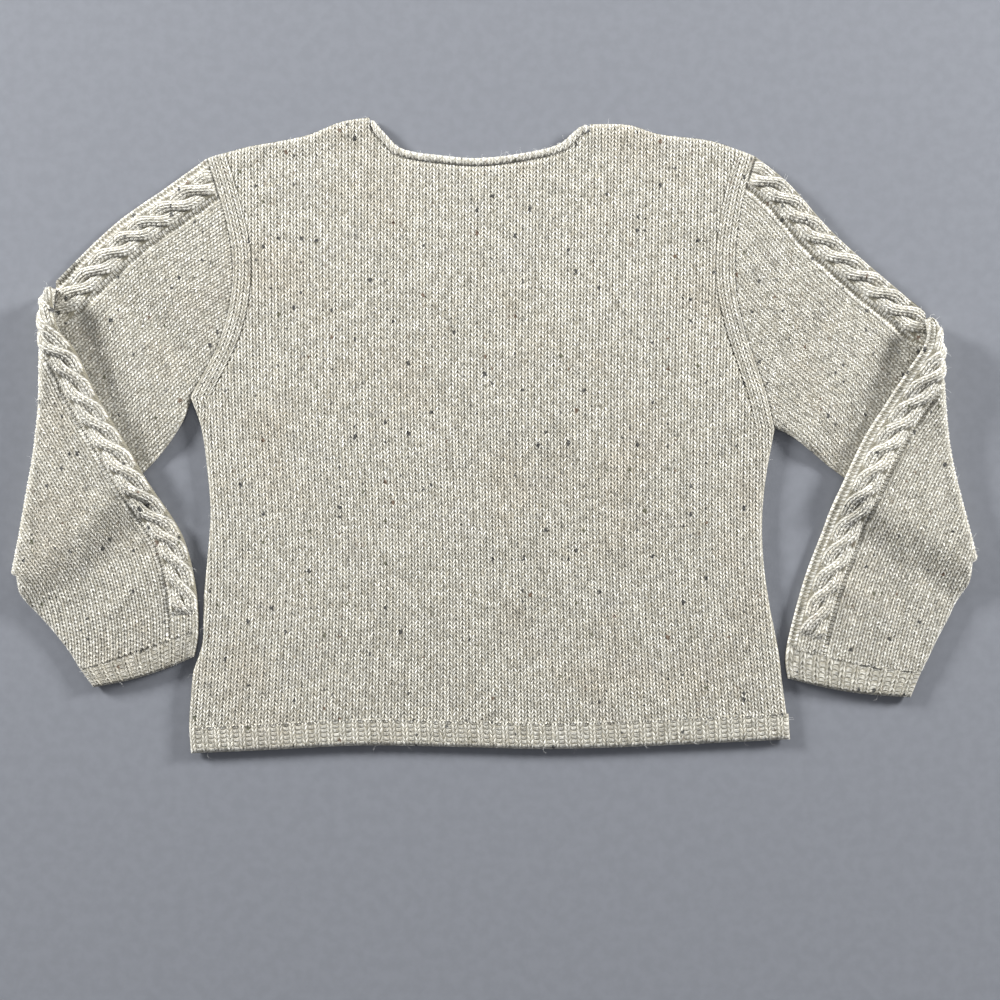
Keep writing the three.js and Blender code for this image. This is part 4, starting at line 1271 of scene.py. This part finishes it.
def plain_material(name, colour, roughness, sheen):
    """One colour with a faint grain."""
    material = bpy.data.materials.new(name)
    material.use_nodes = True
    tree = material.node_tree
    shader = tree.nodes["Principled BSDF"]
    spot = node(tree, "ShaderNodeTexCoord").outputs["Object"]
    grain = ramp(tree, noise(tree, spot, 90.0, 4.0), 0.3, 0.7, 0.96, 1.03)
    coloured = blend(tree, 1.0, (*colour, 1), vector(tree, grain, grain, grain), "MULTIPLY")
    feed(tree, shader.inputs["Base Color"], coloured)
    shader.inputs["Roughness"].default_value = roughness
    shader.inputs["Specular IOR Level"].default_value = 0.1
    shader.inputs["Sheen Weight"].default_value = sheen
    return material


# Settings


class SweaterSizes(bpy.types.PropertyGroup):
    """Sizes of the yarn, the stitches and the cables."""

    wale_width: bpy.props.FloatProperty(
        name="Stitch width", description="Width of a stitch on the sleeves, in millimetres",
        default=6.0, min=3.0, max=12.0,
    )
    course_height: bpy.props.FloatProperty(
        name="Row height", description="Height of a row of stitches, in millimetres",
        default=4.0, min=2.0, max=8.0,
    )
    stitch_relief: bpy.props.FloatProperty(
        name="Stitch relief", description="How far the stitches stand up, in millimetres",
        default=1.3, min=0.0, max=3.0,
    )
    rope_width: bpy.props.FloatProperty(
        name="Rope width", description="Width of a rope cable, in millimetres",
        default=26.0, min=12.0, max=40.0,
    )
    rope_height: bpy.props.FloatProperty(
        name="Rope height", description="How far a rope cable stands up, in millimetres",
        default=2.8, min=0.0, max=6.0,
    )
    rope_pitch: bpy.props.FloatProperty(
        name="Rope pitch", description="Length between two crossings of a rope, in millimetres",
        default=26.0, min=12.0, max=60.0,
    )
    fibre_count: bpy.props.IntProperty(
        name="Stray fibres", description="How many loose fibres stand off the cloth",
        default=5200, min=0, max=20000,
    )


def colour_setting(name, description, default):
    """A colour that can be set in the panel."""
    return bpy.props.FloatVectorProperty(
        name=name, description=description, default=default, subtype="COLOR", size=3, min=0.0, max=1.0
    )


class SweaterColours(bpy.types.PropertyGroup):
    """Colours of the wool and of what it lies on."""

    light: colour_setting("Light ply", "The lighter ply of the marled yarn", (0.945, 0.93, 0.85))
    marl: colour_setting("Dark ply", "The darker ply of the marled yarn", (0.60, 0.56, 0.46))
    beige: colour_setting("Beige patches", "Soft patches of warmer wool", (0.66, 0.545, 0.41))
    cool: colour_setting("Cool patches", "Soft patches of greyer wool", (0.70, 0.69, 0.68))
    # The colour that painted shade darkens the wool toward, in the hollows between the stitches
    shadowed: colour_setting("Hollows", "The wool deep between the stitches", (0.15, 0.135, 0.09))
    dark_fleck: colour_setting("Dark flecks", "The darkest tweed flecks", (0.03, 0.03, 0.028))
    brown_fleck: colour_setting("Brown flecks", "Brown tweed flecks", (0.12, 0.075, 0.045))
    olive_fleck: colour_setting("Olive flecks", "Olive tweed flecks", (0.09, 0.09, 0.05))
    floor: colour_setting("Floor", "The surface that the sweater lies on", (0.186, 0.195, 0.216))


def rope_sizes(sizes):
    """The sizes of a rope cable as they are set in the panel."""
    return {
        "width": sizes.rope_width,
        "height": sizes.rope_height,
        "pitch": sizes.rope_pitch,
    }


# Operators


class SWEATER_OT_materials(bpy.types.Operator):
    """Mixes the wools and the floor's finish"""

    bl_idname = "sweater.materials"
    bl_label = "Wool and floor finishes"

    def execute(self, context):
        chosen = context.scene.sweater_colours
        names = ("light", "marl", "beige", "cool", "shadowed", "dark_fleck", "brown_fleck", "olive_fleck")
        colours = {name: tuple(getattr(chosen, name)) for name in names}
        for name, fleck_share in FLECK_SHARES.items():
            wool_material(name, colours, fleck_share, HOLLOW_LIGHT)
        plain_material("loose fibre", tuple(0.4 + 0.6 * c for c in colours["light"]), 0.9, 0.5)
        plain_material("pale floor", tuple(chosen.floor), 0.95, 0.0)
        return {"FINISHED"}


class SWEATER_OT_body(bpy.types.Operator):
    """Knits the back and the front of the body"""

    bl_idname = "sweater.body"
    bl_label = "Back and front"

    def execute(self, context):
        sizes = context.scene.sweater_sizes
        points, quads, stitches, hollow = back_face(sizes.stitch_relief, sizes.course_height)
        wale = stitches[quads, 0]
        at_side = (wale.max(axis=1) <= SIDE_WALES) | (wale.min(axis=1) >= BODY_WALES - SIDE_WALES)
        back = add_piece("back_knit", points, quads[~at_side], stitches, hollow, "body wool", True)
        sides = add_piece("back_sides_knit", points, quads[at_side], stitches, hollow, "body wool", True)
        declare("back")
        inside = add_piece("back_inside", *plain_panel(BACK_NECK, True), "body wool", False)
        front = add_piece("front_knit", *plain_panel(FRONT_NECK, False), "body wool", False)
        declare("front")
        return {"FINISHED"}


class SWEATER_OT_hem(bpy.types.Operator):
    """Knits the rib bands of the hem"""

    bl_idname = "sweater.hem"
    bl_label = "Hem ribs"

    def execute(self, context):
        relief = context.scene.sweater_sizes.stitch_relief
        for name, is_back in (("back_hem_rib", True), ("front_hem_rib", False)):
            piece = add_piece(name + "_knit", *hem_rib(is_back, relief), "rib wool", is_back)
            declare(name)
        return {"FINISHED"}


class SWEATER_OT_neck(bpy.types.Operator):
    """Rolls the edges round the neck"""

    bl_idname = "sweater.neck"
    bl_label = "Neck edges"

    def execute(self, context):
        back = neck_roll(BACK_NECK, BACK_LEVEL, NECK_ROLLS["back"], True)
        front = neck_roll(FRONT_NECK, 0, NECK_ROLLS["front"], False)
        for name, roll in (("back_neck_edge", back), ("front_neck_edge", front)):
            piece = add_piece(name + "_knit", *roll, "rib wool")
            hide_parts(name)
        return {"FINISHED"}


class SWEATER_OT_sleeves(bpy.types.Operator):
    """Knits both sleeves, with their rope cables"""

    bl_idname = "sweater.sleeves"
    bl_label = "Sleeves and cables"

    def execute(self, context):
        sizes = context.scene.sweater_sizes
        rope = rope_sizes(sizes)
        stitch = sizes.stitch_relief, rope, sizes.wale_width, sizes.course_height
        cable = sizes.stitch_relief, rope, sizes.course_height
        for side in ("left", "right"):
            for part in ("upper", "folded"):
                layers = flat_tube(sleeve_face(side, part, *stitch), plain_sleeve(side, part, rope))
                tube = add_piece(f"sleeve_{side}_{part}", *layers, "sleeve wool")
                strands = rope_face(side, part, *cable)
                rope_piece = add_piece(f"cable_{side}_{part}", *strands, "sleeve wool", True)
                declare("sleeve_" + side)
        return {"FINISHED"}


class SWEATER_OT_cuffs(bpy.types.Operator):
    """Knits the rib cuffs"""

    bl_idname = "sweater.cuffs"
    bl_label = "Cuffs"

    def execute(self, context):
        sizes = context.scene.sweater_sizes
        rope = rope_sizes(sizes)
        for side in ("left", "right"):
            layers = [cuff_rib(side, is_top, sizes.stitch_relief, rope) for is_top in (True, False)]
            cuff = add_piece(f"cuff_{side}_knit", *flat_tube(*layers), "rib wool")
            declare("cuff_" + side)
        return {"FINISHED"}


class SWEATER_OT_fibres(bpy.types.Operator):
    """Strews stray fibres over the cloth"""

    bl_idname = "sweater.fibres"
    bl_label = "Stray fibres"

    def execute(self, context):
        names = ["back_knit", "back_sides_knit", "back_hem_rib_knit", "back_neck_edge_knit"]
        for side in ("left", "right"):
            names += [f"sleeve_{side}_upper", f"sleeve_{side}_folded", f"cable_{side}_upper"]
            names += [f"cable_{side}_folded", f"cuff_{side}_knit"]
        count = context.scene.sweater_sizes.fibre_count
        points, quads = scatter_fibres(names, count, FIBRE["length"], FIBRE["width"])
        points[:, 2] = np.maximum(points[:, 2], FIBRE["lowest"])
        flat = np.zeros((len(points), 2))
        fuzz = add_piece("stray_fibres", points, quads, flat, np.zeros(len(points)), "loose fibre", True)
        return {"FINISHED"}


class SWEATER_OT_stage(bpy.types.Operator):
    """Sets up the floor, the lights and the camera"""

    bl_idname = "sweater.stage"
    bl_label = "Floor, lights and camera"

    def execute(self, context):
        scene = context.scene
        mesh = bpy.data.meshes.new("floor")
        turns = ((-1, -1), (1, -1), (1, 1), (-1, 1))
        corners = [(FLOOR_HALF * x, FLOOR_HALF * y, FLOOR_LEVEL) for x, y in turns]
        mesh.from_pydata(corners, [], [(0, 1, 2, 3)])
        mesh.materials.append(bpy.data.materials["pale floor"])
        floor = bpy.data.objects.new("floor", mesh)
        scene.collection.objects.link(floor)

        for name, (place, size, power) in LAMPS.items():
            light = bpy.data.lights.new(name, "AREA")
            light.shape = "RECTANGLE"
            light.size, light.size_y = size
            light.energy = power
            lamp = bpy.data.objects.new(name, light)
            lamp.location = place
            lamp.rotation_euler = (-Vector(place)).to_track_quat("-Z", "Y").to_euler()
            scene.collection.objects.link(lamp)

        world = bpy.data.worlds.new("soft room")
        world.use_nodes = True
        colour, strength = world.node_tree.nodes["Background"].inputs[:2]
        colour.default_value = (0.9, 0.93, 1.0, 1)
        strength.default_value = 0.22
        scene.world = world
        scene.view_settings.view_transform = "Standard"

        camera = bpy.data.cameras.new("camera")
        camera.sensor_width = 36
        camera.lens = CAMERA_LENS
        viewer = bpy.data.objects.new("camera", camera)
        viewer.location = CAMERA_PLACE
        scene.collection.objects.link(viewer)
        scene.camera = viewer
        return {"FINISHED"}


class SWEATER_PT_panel(bpy.types.Panel):
    """Lists the steps that build the sweater"""

    bl_idname = "SWEATER_PT_panel"
    bl_label = "Cable knit sweater"
    bl_space_type = "VIEW_3D"
    bl_region_type = "UI"
    bl_category = "Sweater"

    def draw(self, context):
        layout = self.layout
        for settings in (context.scene.sweater_sizes, context.scene.sweater_colours):
            box = layout.box()
            for key in settings.__annotations__:
                box.prop(settings, key)
        for step in STEPS:
            layout.operator(step.bl_idname)


STEPS = (
    SWEATER_OT_materials,
    SWEATER_OT_body,
    SWEATER_OT_hem,
    SWEATER_OT_neck,
    SWEATER_OT_sleeves,
    SWEATER_OT_cuffs,
    SWEATER_OT_fibres,
    SWEATER_OT_stage,
)
CLASSES = (SweaterSizes, SweaterColours, *STEPS, SWEATER_PT_panel)


def register():
    """Adds the settings, the operators and the panel."""
    for each in CLASSES:
        bpy.utils.register_class(each)
    bpy.types.Scene.sweater_sizes = bpy.props.PointerProperty(type=SweaterSizes)
    bpy.types.Scene.sweater_colours = bpy.props.PointerProperty(type=SweaterColours)


def unregister():
    """Takes the settings, the operators and the panel away again."""
    del bpy.types.Scene.sweater_colours
    del bpy.types.Scene.sweater_sizes
    for each in reversed(CLASSES):
        bpy.utils.unregister_class(each)


def main():
    """Builds the sweater step by step."""
    register()
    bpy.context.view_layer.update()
    bpy.ops.sweater.materials()
    bpy.ops.sweater.body()
    bpy.ops.sweater.hem()
    bpy.ops.sweater.neck()
    bpy.ops.sweater.sleeves()
    bpy.ops.sweater.cuffs()
    bpy.ops.sweater.fibres()
    bpy.ops.sweater.stage()


if __name__ == "__main__":
    main()
